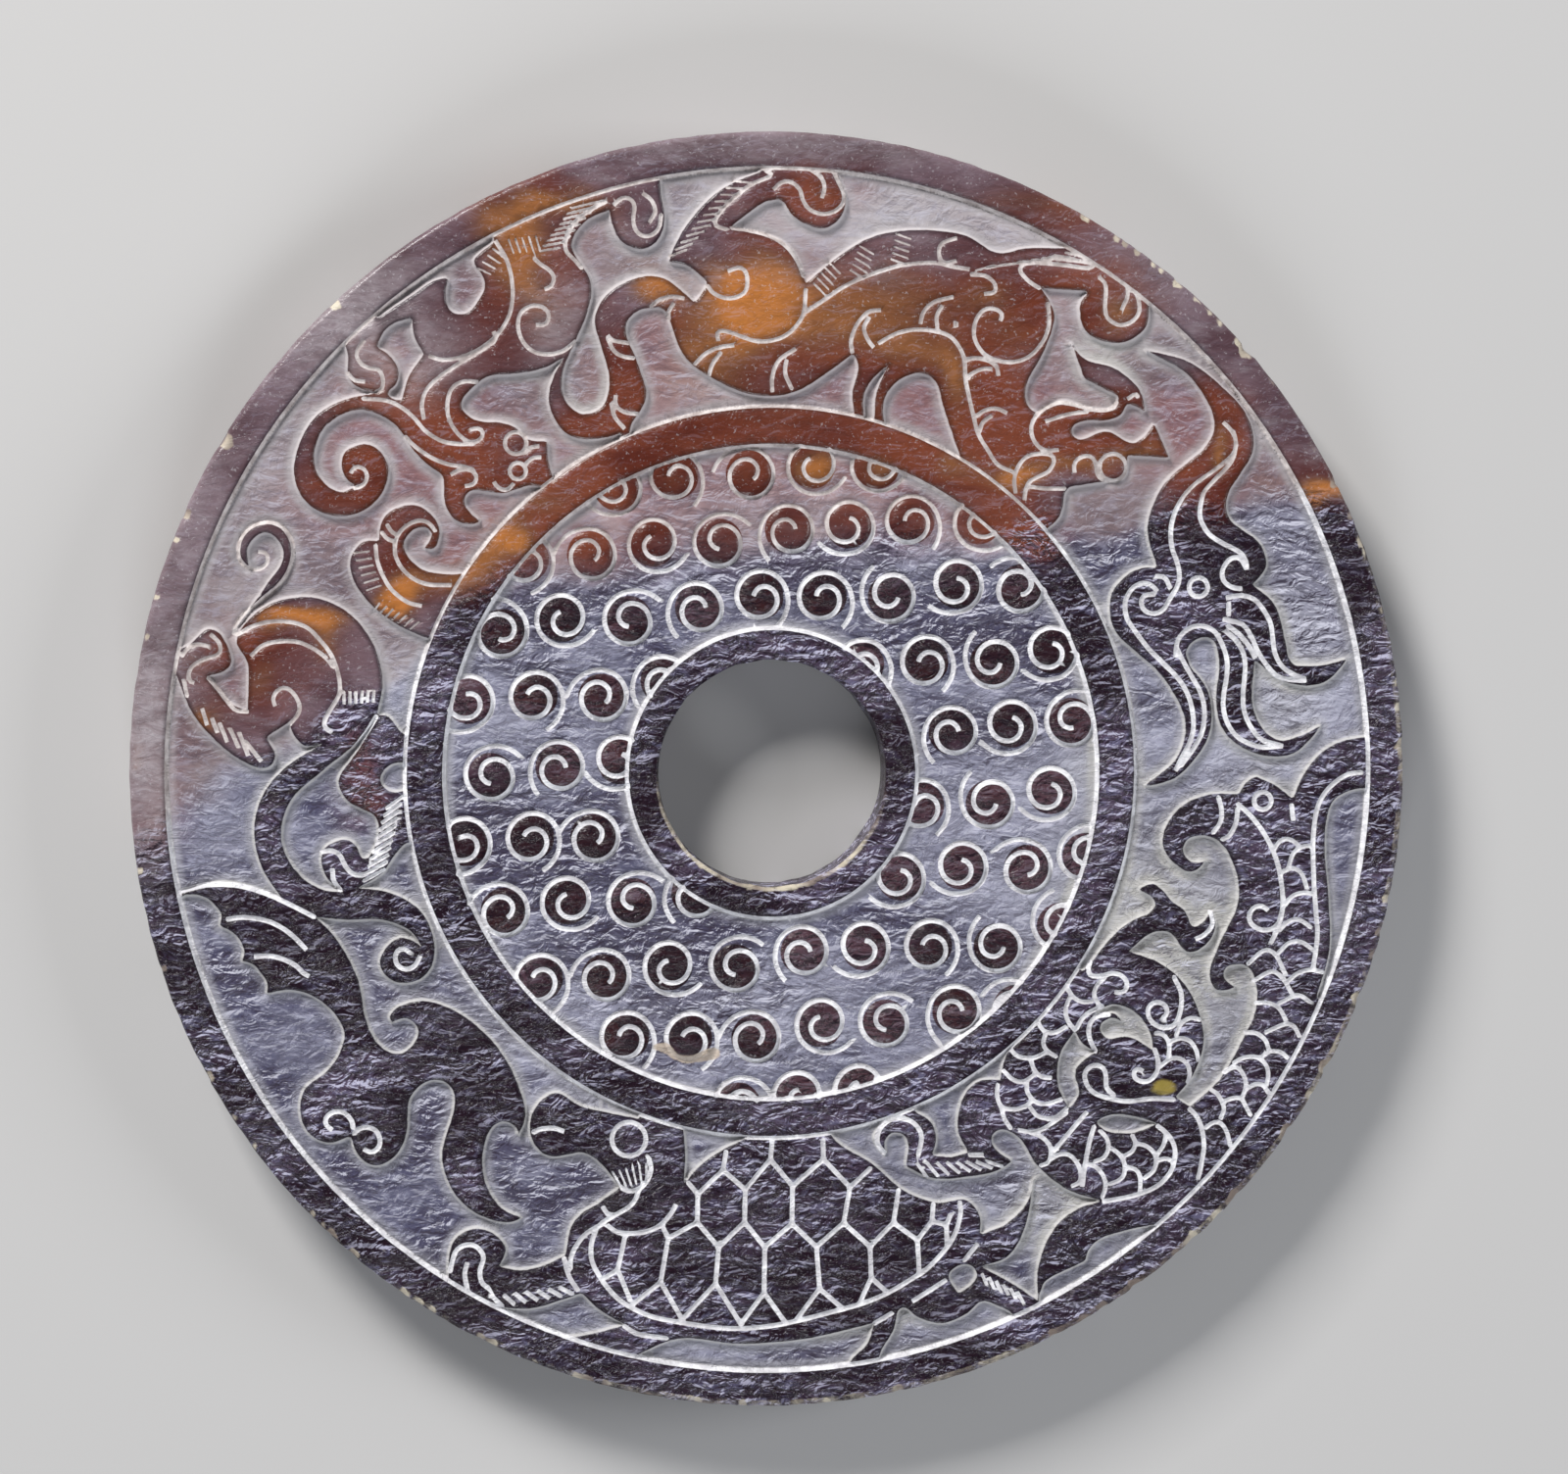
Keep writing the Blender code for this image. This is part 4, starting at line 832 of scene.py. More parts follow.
def wall(first_ring, last_ring, sections, count, start):
    """Rings of vertices between two given rings, and the quads between each pair of rings."""
    way = at_radius(1, count)
    rings = [np.column_stack([way * out, np.full(count, up)]) for out, up in sections]
    between = [start + i * count + np.arange(count) for i in range(len(sections))]
    names = [first_ring] + between + [last_ring]
    quads = []
    for upper, lower in zip(names, names[1:]):
        quads.append(np.stack([upper, lower, np.roll(lower, -1), np.roll(upper, -1)], 1))
    return np.vstack(rings), np.vstack(quads)


face_place = np.column_stack([face_points, face_height])
back_place = np.column_stack([back_points, back_height])
ring_names = np.arange(RIM_COUNT)
bore_names = RIM_COUNT + np.arange(BORE_COUNT)
back_start = len(face_place)
side_start = back_start + len(back_place)
side_place, side_quads = wall(
    ring_names, back_start + ring_names, outer_wall, RIM_COUNT, side_start)
inner_start = side_start + len(side_place)
inner_place, inner_quads = wall(
    bore_names, back_start + bore_names, inner_wall, BORE_COUNT, inner_start)
place = np.vstack([face_place, back_place, side_place, inner_place])


# Chips that show one by one on the rim: the x and y of the side that each is on and its length,
# in hundredths of the radius, and its depth in millimetres. Small ones are strewn by chance,
# and their depth is so many millimetres for each unit of their length.
SMALL_CHIPS = 120
SMALL_CHIP_DEPTH = 0.18
CHIPS = (
    (74.5, 66, 1.7, 0.4), (63.5, 76.5, 1.2, 0.25), (61, 78.5, 0.9, 0.2), (55.5, 83, 1.0, 0.2),
    (-68, 73.3, 1.4, 0.25), (-86, 52.5, 1.9, 0.4), (-92, 41, 1.2, 0.3), (-93.2, 37, 1.0, 0.25),
    (-96, 28, 1.0, 0.2), (-97.5, 21.5, 0.9, 0.2), (-98, -14.7, 1.0, 0.2), (74, -67.5, 1.5, 0.3),
    (71, -70.5, 1.2, 0.25), (67, -74, 1.4, 0.3), (64.5, -77, 1.0, 0.25), (57.5, -81.5, 1.4, 0.3),
    (53, -85.5, 1.2, 0.25), (45, -90, 1.3, 0.25), (-94.5, -30, 1.0, 0.2), (-88, -47, 1.1, 0.25),
    (93, -36, 1.4, 0.3), (88, -47, 1.7, 0.35), (82, -57, 1.5, 0.3), (97, -20, 1.2, 0.25),
    (99, 4, 1.3, 0.25), (20, -97.5, 1.2, 0.25), (-12, -99, 1.0, 0.2), (-44, -89.5, 1.1, 0.2),
    (88, 45, 1.2, 0.25))


def chipped(place):
    """Bites out of the rim's upper edge. Each lowers and draws in what is within its length of
    its place on the edge, most at the middle; returns the worn share of each vertex."""
    radius = np.hypot(place[:, 0], place[:, 1])
    turn = np.arctan2(place[:, 1], place[:, 0])
    chance = np.random.default_rng(12)
    angles = chance.uniform(-2.6, 1.2, SMALL_CHIPS)
    lengths = chance.uniform(0.4, 1.1, SMALL_CHIPS)
    bites = [(math.atan2(y, x), length * UNIT, deep / 1000) for x, y, length, deep in CHIPS]
    bites += [
        (angle, length * UNIT, SMALL_CHIP_DEPTH * length / 1000)
        for angle, length in zip(angles, lengths)]
    worn = np.zeros(len(place))
    bite = np.zeros(len(place))
    near_edge = np.flatnonzero((radius > FLAT_OUT - 0.0022) & (place[:, 2] > 0.35 * FACE))
    for angle, size, deep in bites:
        along = np.abs((turn[near_edge] - angle + np.pi) % (2 * np.pi) - np.pi) * DISC_RADIUS
        down = np.maximum(FACE - place[near_edge, 2], 0)
        inward = np.maximum(DISC_RADIUS - radius[near_edge], 0)
        away = np.sqrt((along / size) ** 2 + ((down + inward) / (1.5 * size)) ** 2)
        amount = smoothly(1 - away, 0, 0.55)
        bite[near_edge] = np.maximum(bite[near_edge], amount * deep)
        worn[near_edge] = np.maximum(worn[near_edge], amount)
    rough = 1 + 0.35 * ripple(place[:, 0], place[:, 1], 0.0016, 31)
    outer_lip = (radius > FLAT_OUT - 0.0002) & (place[:, 2] > FACE - 0.0012)
    worn = np.maximum(worn, np.where(outer_lip, 0.46 + 0.16 * np.cos(turn + 0.9), 0))
    bore_lip = (radius < FLAT_IN + 0.0001) & (place[:, 2] > FACE - 0.0009)
    worn = np.maximum(worn, np.where(bore_lip, 0.52 - 0.26 * np.sin(turn + 0.1), 0))
    moved = place.copy()
    moved[:, :2] *= (1 - 0.75 * bite * rough / np.maximum(radius, 1e-6))[:, None]
    moved[:, 2] -= 0.55 * bite * rough
    return moved, worn


place, worn = chipped(place)
radius = np.hypot(place[:, 0], place[:, 1])
RIM_WAVE = 0.00006
BORE_WAVE = 0.00010
in_bore = (radius < FLAT_IN - 0.0001) & (np.arange(len(place)) >= inner_start)
wobble = np.where(
    radius > FLAT_OUT + 0.0001, RIM_WAVE * (ripple(place[:, 0], place[:, 1], 0.004, 41) - 1), 0)
wobble = wobble + np.where(
    in_bore, BORE_WAVE * (1 + ripple(place[:, 0] * 2, place[:, 2] * 3, 0.006, 43)), 0)
place[:, :2] *= (1 + wobble / np.maximum(radius, 1e-6))[:, None]


# The jade's colour zones, as soft oval patches. Each is its middle, its half width
# and half height in hundredths of the radius, and its strength. Amber and red-brown lie in the
# upper part, frosted and bleached on the sunk grounds, and a milky bloom on the polished rim.
AMBER = (
    (-6, 71.5, 7, 8, 0.85), (0, 76, 7, 6, 0.6), (11, 71, 10, 7, 0.55), (24, 73.5, 9, 5, 0.30),
    (19, 78, 6, 4, 0.25), (-18, 77, 6, 4, 0.7), (-39, 79.5, 6, 6, 0.65), (-36, 72, 5, 6, 0.35),
    (-33, 89, 10, 3, 0.5), (-42, 85.5, 6, 4, 0.4), (-24, 84, 6, 4, 0.3), (54.5, 71.5, 4, 4, 0.55),
    (35, 75, 6, 5, 0.38), (38, 67.5, 5, 5, 0.3), (28.5, 61, 3, 8, 0.55), (22, 66, 6, 4, 0.4),
    (-41.5, 37.5, 5, 4, 0.95), (-47, 31.5, 4, 4, 0.6), (-34, 43, 5, 3.4, 0.5), (-58, 27, 4.6, 4, 1.0),
    (-54, 31, 4, 4, 0.45), (-74, 24.5, 9, 2.2, 0.9), (-69, 20, 3, 4, 0.5), (-80, 15, 5, 4, 0.4),
    (-87.5, 8.5, 4, 4, 0.55), (-90, 17, 3, 3, 0.35), (38, 45.5, 5, 2.6, 0.65), (29, 48.5, 5, 2.8, 0.5),
    (86.5, 43.8, 7, 2.0, 0.85), (78, 46, 5, 2.4, 0.4), (47, 48.5, 8, 2.4, 0.5),
    (58, 50.5, 7, 2.4, 0.55), (70.5, 51, 1.8, 4.5, 0.6), (6.3, 47.5, 4, 3.6, 0.8),
    (16.5, 47.5, 4, 3, 0.6), (-4, 46.5, 3.5, 3.5, 0.25), (-16, 46, 3.5, 3.5, 0.25),
    (-99, 3, 1.6, 2.6, 0.6), (8, 90.5, 3.5, 3, 0.35), (8, 55, 16, 1.6, 0.22), (-15, 64, 6, 6, 0.45),
    (-8, 59, 8, 4, 0.3), (38, 89, 14, 3, 0.35), (46, 85, 5, 4, 0.2))
RED = (
    (0, 54.5, 32, 4, 1.25), (-22, 50.5, 9, 5, 1.1), (-36, 42, 10, 7, 0.8), (24, 50.5, 10, 5, 1.0),
    (-46, 34, 8, 7, 0.7), (36, 45, 6, 5, 0.6), (-22, 62, 9, 9, 0.8), (-50, 49, 10, 8, 0.75),
    (-64, 48, 8, 9, 0.85), (-55, 59, 10, 7, 0.5), (-44, 70, 9, 11, 0.55), (-62, 64, 6, 7, 0.6),
    (-36, 76, 9, 11, 0.6), (50, 52, 14, 6, 1.0), (46, 58, 10, 4, 0.7), (67, 56, 7, 7, 0.8),
    (71, 50, 5, 8, 0.85), (66, 44, 6, 7, 0.5), (4, 69, 20, 8, 0.8), (28, 60, 8, 11, 0.85),
    (24, 72, 17, 10, 0.6), (42, 72, 11, 9, 0.65), (54, 73, 8, 7, 0.7), (0, 84, 10, 10, 0.55),
    (10, 91, 8, 4, 0.6), (-3, 47, 10, 4, 0.7), (12, 48, 12, 4, 0.8), (-20, 45, 8, 5, 0.5),
    (-4, 39, 20, 8, 0.7), (22, 40, 10, 6, 0.6), (-24, 36, 8, 7, 0.6), (-74, 42, 11, 9, 0.45),
    (-76, 20, 12, 6, 0.75), (-83, 12, 8, 7, 0.6), (-57, 32, 7, 7, 0.85), (-96, 4, 5, 10, 0.45),
    (-95, -8, 5, 7, 0.3), (-34, 89, 14, 5, 0.6), (85, 46, 9, 5, 0.6), (-65, 2, 5, 6, 0.45),
    (-64, -6, 4, 4, 0.4), (-10, 58, 12, 6, 0.7), (-17, 66, 5, 7, 0.4), (40, 88, 18, 5, 0.5),
    (42, 37, 5, 4, 0.9), (34, 38, 4, 4, 0.5), (4, 60, 10, 5, 0.6))
FROSTED = (
    (-38, 68, 6, 8, 0.5), (84, 24, 16, 22, 1.0), (30, 87, 34, 9, 1.1), (56, 78, 12, 9, 0.8),
    (-80, 46, 16, 18, 0.6), (-66, 74, 14, 10, 0.8), (-10, 86, 14, 8, 0.6), (-14, 66, 10, 12, 0.55),
    (0, 60, 12, 6, 0.8), (48, 68, 8, 8, 0.5), (72, 6, 16, 14, 0.5), (60, -28, 14, 12, 0.7),
    (60, -40, 8, 8, 0.6), (40, -66, 14, 8, 0.45), (-22, -38, 26, 14, 0.5), (36, -8, 18, 26, 0.55),
    (-38, 8, 18, 22, 0.4), (0, 40, 34, 12, 0.75), (0, -88, 40, 7, 0.6), (62, -66, 16, 12, 0.45),
    (-62, -34, 8, 10, 0.25), (-48, -44, 7, 10, 0.6), (-60, 12, 7, 16, 0.5), (-86, -10, 8, 12, 0.3),
    (-38, -60, 12, 12, 0.25), (0, -38, 26, 10, 0.4))
BLOOM = (
    (-66, 71, 15, 13, 0.8), (-97, 4, 6, 18, 1.0), (-90, 40, 9, 22, 0.5), (0, 98, 46, 4, 0.5),
    (60, 78, 12, 12, 0.35), (-55, 62, 9, 6, 0.3), (-34, 70, 6, 9, 0.6), (14, 79, 24, 4, 0.3),
    (2, 60, 10, 6, 0.25), (95, 20, 6, 14, 0.2))
BLEACHED = (
    (62, -30, 22, 26, 1.0), (46, -70, 12, 9, 0.8), (12, -86, 16, 4, 0.8), (80, 14, 10, 18, 0.6),
    (52, 2, 6, 20, 0.5), (-56, -24, 4, 6, 0.4), (-30, 60, 12, 14, 0.5), (52, 64, 8, 10, 0.6))
TAN = ((-13, -44.2, 4.6, 0.9, 1.0), (-17.5, -43, 2, 0.8, 0.9), (-10.5, -45, 1.6, 1.0, 0.7))
STAIN = ((61.5, -49.6, 2.4, 1.4, 1.2),)


def patches(points, spots, seed):
    """Sum of soft oval patches: each falls off as exp(-d^2), with its outline a little torn."""
    x, y = points[:, 0] / UNIT, points[:, 1] / UNIT
    x = x + 1.3 * ripple(points[:, 0], points[:, 1], 0.010, seed)
    y = y + 1.0 * ripple(points[:, 0], points[:, 1], 0.008, seed + 1)
    total = np.zeros(len(points))
    for px, py, wide, tall, strength in spots:
        total = total + strength * np.exp(-((x - px) / wide) ** 2 - ((y - py) / tall) ** 2)
    return np.clip(total, 0, 1.5)


def warm_share(points):
    """0 in the dark lower part and 1 in the warm upper part; between them it rises smoothly over
    12 units, along a bent line across the disc."""
    x, y = points[:, 0] / UNIT, points[:, 1] / UNIT
    border = np.interp(
        x, (-100, -92, -80, -62, -50, -40, -20, 0, 35, 50, 70, 88, 100),
        (-12, -4, 2, 12, 26, 30, 33, 35, 36, 37, 42, 42, 40))
    border = border + 2.6 * ripple(points[:, 0], points[:, 1], 0.016, 51)
    return smoothly(y, border - 6, border + 6)


extra = len(place) - len(face_place)
plain = {"apart": FAR * 1000, "line": 3.0, "grain": -1.0}
layers = {name: np.concatenate([values, np.full(extra, plain[name])]) for name, values in marks.items()}
layers["chip"] = worn
layers["amber"] = patches(place, AMBER, 61)
layers["red"] = patches(place, RED, 71)
layers["frosted"] = patches(place, FROSTED, 101)
layers["bloom"] = patches(place, BLOOM, 121)
layers["bleached"] = patches(place, BLEACHED, 131)
layers["warm"] = warm_share(place)
layers["tan"] = patches(place, TAN, 81)
layers["stain"] = patches(place, STAIN, 91)


# The whole disc as one closed mesh, with each layer kept as an attribute of its vertices.
corner_list = np.concatenate([
    face_triangles.ravel(), back_start + back_triangles[:, ::-1].ravel(), side_quads.ravel(),
    inner_quads[:, ::-1].ravel()])
sizes = np.concatenate([
    np.full(len(face_triangles) + len(back_triangles), 3),
    np.full(len(side_quads) + len(inner_quads), 4)])
starts = np.concatenate([[0], np.cumsum(sizes)[:-1]])
disc_mesh = bpy.data.meshes.new("carved_disc")
disc_mesh.vertices.add(len(place))
disc_mesh.vertices.foreach_set("co", place.ravel())
disc_mesh.loops.add(len(corner_list))
disc_mesh.loops.foreach_set("vertex_index", corner_list.astype(np.int32))
disc_mesh.polygons.add(len(sizes))
disc_mesh.polygons.foreach_set("loop_start", starts.astype(np.int32))
disc_mesh.polygons.foreach_set("loop_total", sizes.astype(np.int32))
disc_mesh.update(calc_edges=True)
disc_mesh.validate()
disc_mesh.shade_smooth()
for name, values in layers.items():
    disc_mesh.attributes.new(name, "FLOAT", "POINT").data.foreach_set("value", values.astype(np.float32))
carved_disc = bpy.data.objects.new("carved_disc", disc_mesh)
bpy.context.scene.collection.objects.link(carved_disc)
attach(carved_disc, "root")
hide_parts("jade_disc")


# The jade. Where it is polished it is dark aubergine with amber and red zones at the top, its
# skin crazed into small facets with dark veins, with painted highlights and shade on facets and
# folds. Where it is cut it is matt lavender or cream, its grounds also with painted highlights
# and shade.
class Field:
    """A value over the surface. Python's maths signs add the Math nodes."""

    def __init__(self, tree, socket):
        self.tree = tree
        self.socket = socket

    def maths(self, operation, *values):
        return node(self.tree, "ShaderNodeMath", {"operation": operation}, dict(enumerate(values)))

    def __add__(self, other):
        return self.maths("ADD", self, other)

    def __sub__(self, other):
        return self.maths("SUBTRACT", self, other)

    def __rsub__(self, other):
        return self.maths("SUBTRACT", other, self)

    def __mul__(self, other):
        return self.maths("MULTIPLY", self, other)

    __radd__ = __add__
    __rmul__ = __mul__

    def between(self, low, high):
        """0 at low and 1 at high, with level ends."""
        return node(self.tree, "ShaderNodeMapRange", {"interpolation_type": "SMOOTHSTEP"},
                    {"Value": self, "From Min": low, "From Max": high})

    def most(self, other):
        """The larger of two values."""
        return self.maths("MAXIMUM", self, other)


def node(tree, kind, settings, inputs, output=0):
    """One shader node: its settings first, then the values or links of its sockets."""
    made = tree.nodes.new(kind)
    for name, value in settings.items():
        setattr(made, name, value)
    for name, value in inputs.items():
        if isinstance(value, Field):
            tree.links.new(value.socket, made.inputs[name])
        else:
            made.inputs[name].default_value = value
    return Field(tree, made.outputs[output])


def blended(share, first, second):
    """Two colours mixed by a share between 0 and 1."""
    mix = tree.nodes.new("ShaderNodeMix")
    mix.data_type = "RGBA"
    for name, value in ((0, share), (6, first), (7, second)):
        if isinstance(value, Field):
            tree.links.new(value.socket, mix.inputs[name])
        else:
            mix.inputs[name].default_value = value if name == 0 else (*value, 1)
    return Field(tree, mix.outputs[2])


jade = bpy.data.materials.new("jade")
jade.use_nodes = True
tree = jade.node_tree
shader = tree.nodes["Principled BSDF"]
spot = node(tree, "ShaderNodeTexCoord", {}, {}, "Object")


def layer(name):
    """One of the disc's own attributes."""
    return node(tree, "ShaderNodeAttribute", {"attribute_name": name}, {}, "Fac")


def stretched(stretch, degrees=0, shift=0.0):
    """The place on the disc, stretched along y and turned, for a pattern that runs one way."""
    return node(tree, "ShaderNodeMapping", {}, {
        "Vector": spot, "Scale": (1, stretch, 1), "Rotation": (0, 0, math.radians(degrees)),
        "Location": (0, shift, 0)})


def clouds(where, scale, detail, rough=0.55, warp=0.0):
    """Soft cloudy noise between 0 and 1."""
    return node(tree, "ShaderNodeTexNoise", {}, {
        "Vector": where, "Scale": scale, "Detail": detail, "Roughness": rough, "Distortion": warp})


def veins(noise, width):
    """Thin lines, 1 on the line, where a cloudy noise passes its middle value."""
    off_middle = noise - 0.5
    return 1 - noise.maths("ABSOLUTE", off_middle).between(0, width)


def painted_folds(scale, stretch, degrees, warp, step):
    """Painted light and shade of small folds: a cloudy noise less itself a step away."""
    lit, shaded = (
        clouds(stretched(stretch, degrees, shift), scale, 3, 0.62, warp) for shift in (0, step * stretch))
    return lit - shaded


# The colours in linear light, most as a dark end and a pale end.
AUBERGINE = ((0.015, 0.006, 0.012), (0.074, 0.052, 0.086))
PLUM = ((0.085, 0.046, 0.056), (0.155, 0.104, 0.124))
RED_BROWN = ((0.092, 0.018, 0.009), (0.172, 0.044, 0.020))
HONEY = ((0.165, 0.070, 0.034), (0.410, 0.150, 0.038))
MILKY = ((0.20, 0.155, 0.165), (0.47, 0.43, 0.46))
GRAIN_TOP = ((0.026, 0.008, 0.010), (0.075, 0.024, 0.018))
# Painted highlights on the polished skin: the lit tops of its facets and glints on its folds.
PAINTED_FACET_LIGHT = (0.19, 0.19, 0.315)
PAINTED_GLINT = (0.56, 0.55, 0.71)
HAZE = (0.46, 0.43, 0.47)
SPECKLE = (0.55, 0.53, 0.56)
# The dark of the veins, which also paints the shade in folds and hollows.
VEIN_AND_SHADE_DARK = (0.010, 0.005, 0.010)
EDGE_SHADE = ((0.010, 0.006, 0.012), (0.055, 0.018, 0.010))
COLD_FROST = ((0.060, 0.058, 0.112), (0.330, 0.332, 0.420))
MILD_FROST = ((0.170, 0.118, 0.126), (0.410, 0.382, 0.402))
RED_FROST = (0.235, 0.105, 0.108)
AMBER_FROST = (0.32, 0.155, 0.075)
# Painted highlight on the tops of the frost's facets.
PAINTED_FROST_FACET_LIGHT = (0.42, 0.425, 0.54)
FROST_DIM = (0.046, 0.038, 0.074)
# Painted highlight on the frost's folds, and the dark of its veins, which also paints the shade in folds.
PAINTED_FROST_GLINT = (0.62, 0.62, 0.72)
FROST_VEIN_AND_SHADE = (0.028, 0.020, 0.038)
GREY = (0.46, 0.45, 0.425)
SHORE = ((0.345, 0.342, 0.380), (0.395, 0.372, 0.385))
PALE_BAND = ((0.54, 0.53, 0.52), (0.59, 0.56, 0.56))
COLD_LINE = ((0.54, 0.53, 0.56), (0.84, 0.84, 0.87))
WARM_LINE = ((0.36, 0.31, 0.30), (0.66, 0.61, 0.60))
TAN_CRUST = ((0.34, 0.27, 0.21), (0.60, 0.51, 0.42))
YELLOW_STAIN = ((0.22, 0.17, 0.03), (0.36, 0.28, 0.08))
BROKEN_STONE = ((0.24, 0.19, 0.16), (0.62, 0.56, 0.44))

# The crazed skin: painted light and shade of fine folds that run mostly across the disc,
# and dark veins between them.
across_disc = stretched(2.2, 5)
facets = clouds(across_disc, 350, 4, 0.66, 0.9)
drift = clouds(stretched(2.0, -4), 38, 3, 0.58, 0.5)
fold_light = painted_folds(360, 1.7, -17, 1.0, 0.00016) * 0.8 + painted_folds(130, 2.1, -9, 0.9, 0.0005) * 0.42
# Painted highlight on the folds' lit sides, and painted shade on their shaded sides.
glint = (fold_light * 12).between(0.12, 0.95)
shade = (fold_light * -12).between(0.10, 0.95)
vein = veins(clouds(across_disc, 80, 5, 0.64, 1.3), 0.036)
mottle = clouds(stretched(1.6), 70, 3, 0.6)
fine = clouds(spot, 900, 3, 0.6)
speckle = clouds(spot, 2300, 2).between(0.62, 0.72)

# Where each finish is. A little noise keeps the borders between them from looking ruled.
apart = layer("apart")
torn = apart + (fine - 0.5) * 0.22
boss = (layer("grain") + (fine - 0.5) * 0.05).between(-0.02, 0.02)
sunk = 1 - torn.between(-0.07, 0.07).most(boss)
warm = (layer("warm") + (mottle - 0.5) * 0.4).between(0.2, 0.85)
line = 1 - (layer("line") + warm * 0.13 + (fine - 0.5) * 0.3).between(0.76, 0.98)
streaks = clouds(stretched(2.6, -6), 48, 3)
amber = (layer("amber") * (0.60 + 0.8 * streaks)).between(0.02, 1.15)
red = (layer("red") * (0.55 + 0.9 * drift)).between(0.05, 0.9)
frosted = layer("frosted") + (drift - 0.5) * 1.4
bloom = layer("bloom") * (0.45 + facets * 1.1)

# Polished: dark below, plum above, then red-brown and amber; painted highlights on facet tops
# and folds between veins, and painted shade in folds and hollows and along the raised edges.
deep = blended((drift * 0.6 + mottle * 0.4).between(0.46, 0.62), *AUBERGINE)
plum = blended(mottle.between(0.38, 0.62), *PLUM)
skin = blended(warm, deep, plum)
skin = blended(red * 0.95, skin, blended(drift.between(0.38, 0.62), *RED_BROWN))
honey = blended(amber.between(0.25, 0.95), *HONEY)
skin = blended(amber.between(0.0, 0.55), skin, honey)
# Painted highlights on facet tops and folds, in patches, fewer on the grains and in the warm zone.
painted_light_share = (0.22 + 0.78 * drift.between(0.38, 0.60)) * (1 - boss * 0.72)
skin = blended(facets.between(0.48, 0.66) * painted_light_share * (0.50 - 0.47 * warm), skin, PAINTED_FACET_LIGHT)
skin = blended(glint * painted_light_share * (0.82 - 0.71 * warm), skin, PAINTED_GLINT)
milk = clouds(stretched(3.2, 6), 150, 5, 0.7).between(0.50, 0.76)
skin = blended(warm * milk * (1 - red * 0.9) * 0.24, skin, HAZE)
skin = blended(bloom.between(0.05, 1.35), skin, blended(facets, *MILKY))
skin = blended(speckle * 0.3, skin, SPECKLE)
grain_tint = blended(drift.between(0.42, 0.62), *GRAIN_TOP)
skin = blended(boss * (0.56 - 0.40 * warm), skin, grain_tint)
# Dark veins, with painted shade in the folds and in the hollows between facets, less in the warm zone.
painted_hollow_shade = facets.between(0.42, 0.34) * 0.5
dark_vein_and_shade = (vein * 0.8).most(shade * 0.9).most(painted_hollow_shade) * (1 - warm * 0.86)
skin = blended(dark_vein_and_shade, skin, VEIN_AND_SHADE_DARK)
shaded_edge = (1 - apart.between(0.05, 0.85)) * apart.between(-0.05, 0.05)
skin = blended(shaded_edge * 0.7, skin, blended(red.most(amber), *EDGE_SHADE))

# Sunk: frosted lavender below and pinkish grey above, threaded dark with veins and painted
# shade in folds, with painted highlights on facet tops and folds, and pale by the outlines.
cold = blended(frosted.between(-0.1, 1.0), *COLD_FROST)
mild = blended(frosted.between(-0.1, 1.1), *MILD_FROST)
frost = blended(warm, cold, mild)
frost = blended(red * (1 - frosted.between(0.3, 1.1) * 0.6) * 0.7, frost, RED_FROST)
frost = blended(amber * 0.5, frost, AMBER_FROST)
# Painted highlight on the tops of the facets.
frost = blended(facets.between(0.44, 0.68) * (0.46 - 0.20 * warm), frost, PAINTED_FROST_FACET_LIGHT)
dim = drift.between(0.54, 0.38) * (1 - frosted.between(0.2, 1.0) * 0.6)
frost = blended(dim * (0.66 - 0.50 * warm), frost, FROST_DIM)
broad = clouds(spot, 85, 3)
shore = apart.between(-1.75, -0.65) * (0.55 + 0.45 * broad.between(0.36, 0.60))
frost = blended(shore * 0.72, frost, blended(warm, *SHORE))
grey = layer("bleached") * (0.5 + broad) * (0.55 + 0.45 * shore)
frost = blended(grey.between(0.05, 0.85) * 0.82, frost, GREY)
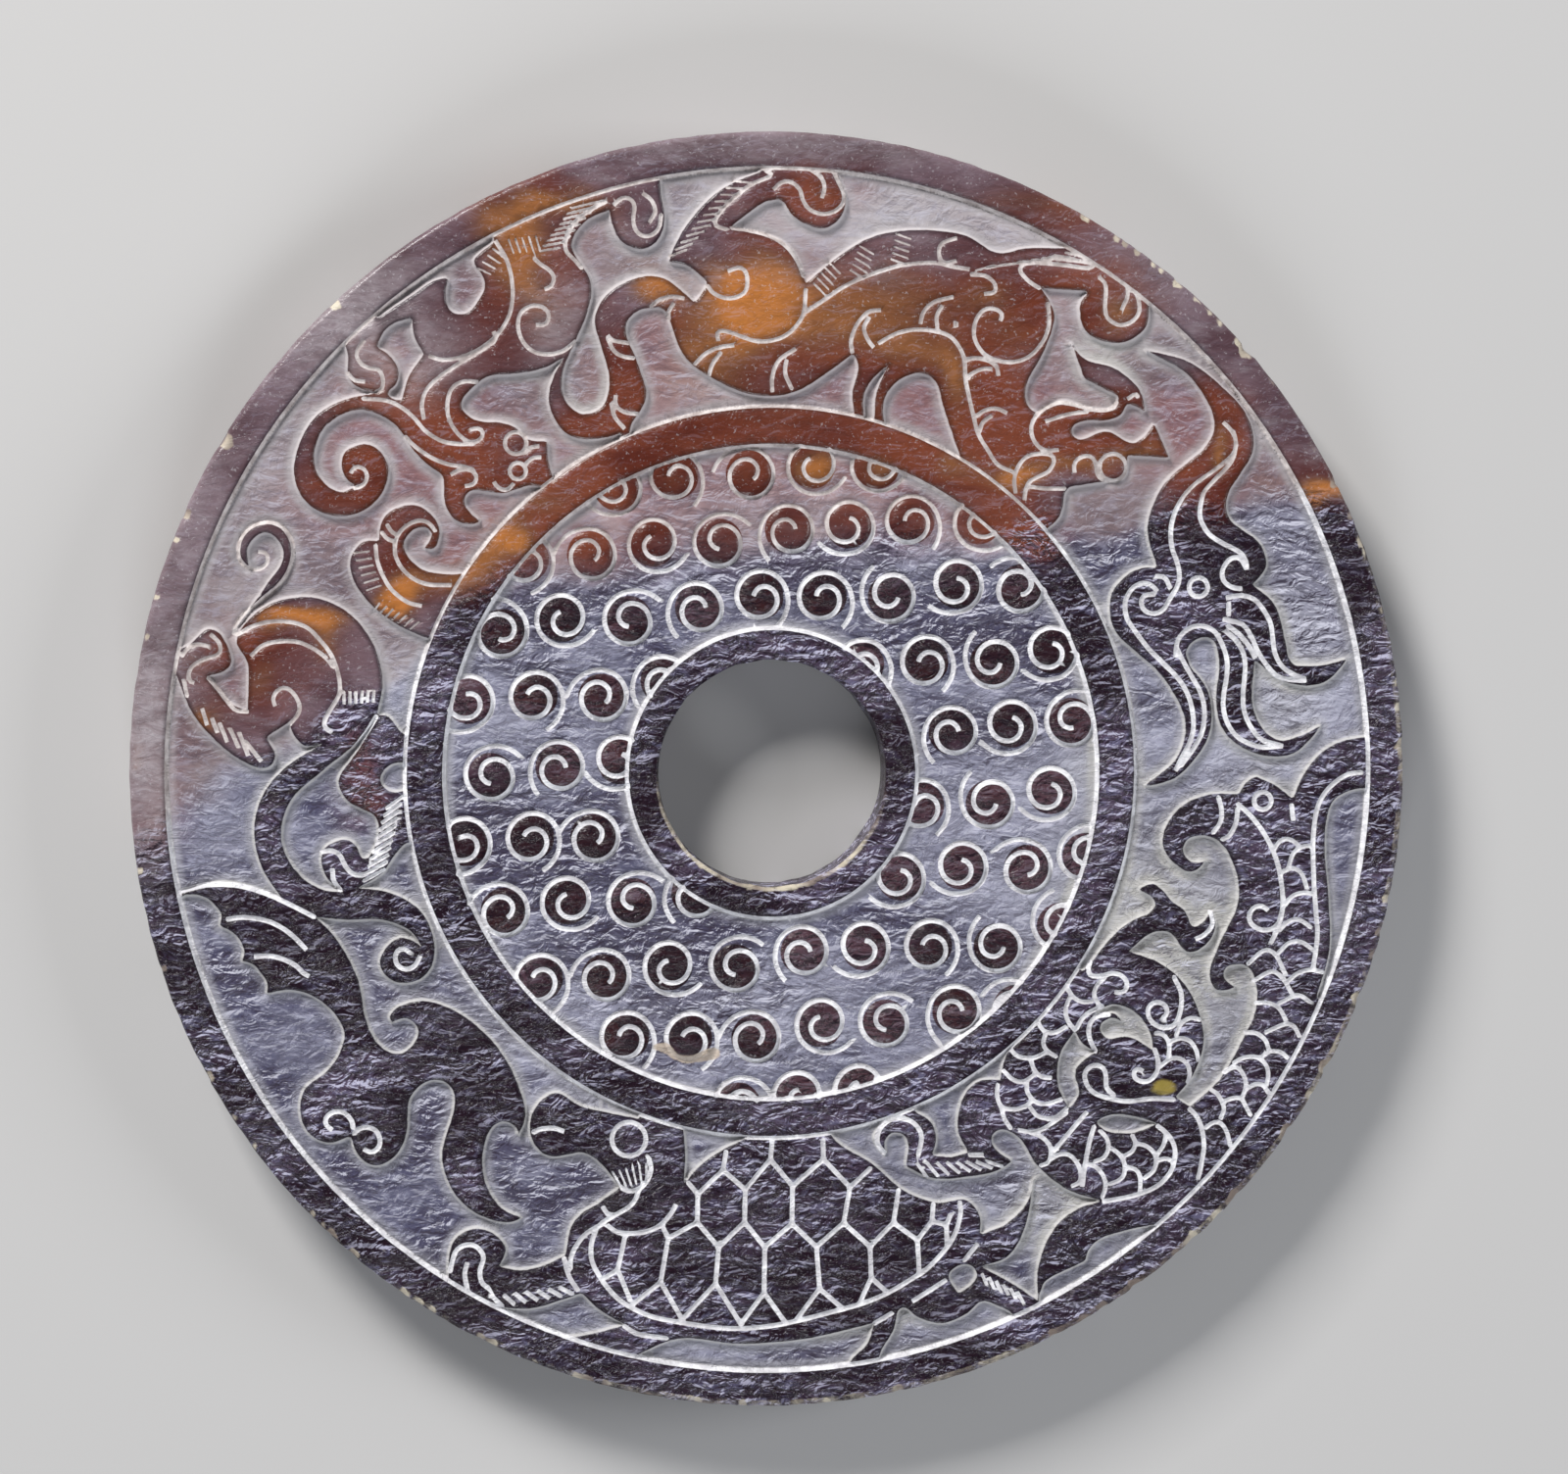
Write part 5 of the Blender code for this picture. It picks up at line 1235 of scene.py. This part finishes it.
# Painted highlights and shade on the folds, fewer by the outlines and in the warm zone; veins darken with
# the shade.
frost_fold_light_share = (0.40 + 0.60 * drift.between(0.62, 0.42)) * (1 - shore * 0.66) * (1 - warm * 0.62)
frost = blended(glint * frost_fold_light_share * 0.8, frost, PAINTED_FROST_GLINT)
frost = blended(shade.most(vein * 0.6) * frost_fold_light_share * 0.92, frost, FROST_VEIN_AND_SHADE)
band = apart.between(-0.55, -0.15)
frost = blended(band * (0.75 - 0.25 * warm), frost, blended(warm, *PALE_BAND))
colour = blended(sunk, skin, frost)

# Cut lines, crusts, stain and worn edges lie over both.
worn_line = clouds(spot, 420, 4, 0.7).between(0.35, 0.68)
cream = blended(warm, blended(worn_line, *COLD_LINE), blended(worn_line, *WARM_LINE))
colour = blended(line * (1 - clouds(spot, 330, 3, 0.7).between(0.64, 0.80) * 0.5), colour, cream)
tan_crust = (layer("tan") * (0.6 + clouds(spot, 500, 4))).between(0.5, 0.7)
colour = blended(tan_crust * 0.85, colour, blended(fine, *TAN_CRUST))
stain = (layer("stain") * (0.6 + clouds(spot, 380, 4))).between(0.35, 0.75)
colour = blended(stain * 0.9, colour, blended(fine, *YELLOW_STAIN))
chip = (layer("chip") * (0.5 + clouds(spot, 520, 4, 0.7))).between(0.5, 0.8)
chip_tint = blended(clouds(spot, 160, 3).between(0.4, 0.62), *BROKEN_STONE)
colour = blended(chip * 0.85, colour, chip_tint)

matt = sunk.most(line)
roughness = 0.20 + 0.12 * mottle + 0.26 * matt + 0.2 * chip
grainy = facets * 1.2 + (1 - vein) * 0.25
bump = node(tree, "ShaderNodeBump", {}, {
    "Strength": 0.75, "Distance": 0.00045, "Height": grainy * (1 - warm * 0.72)}, "Normal")
tree.links.new(colour.socket, shader.inputs["Base Color"])
tree.links.new(roughness.socket, shader.inputs["Roughness"])
tree.links.new(bump.socket, shader.inputs["Normal"])
shader.inputs["IOR"].default_value = 1.6
shader.inputs["Specular IOR Level"].default_value = 0.18
disc_mesh.materials.append(jade)
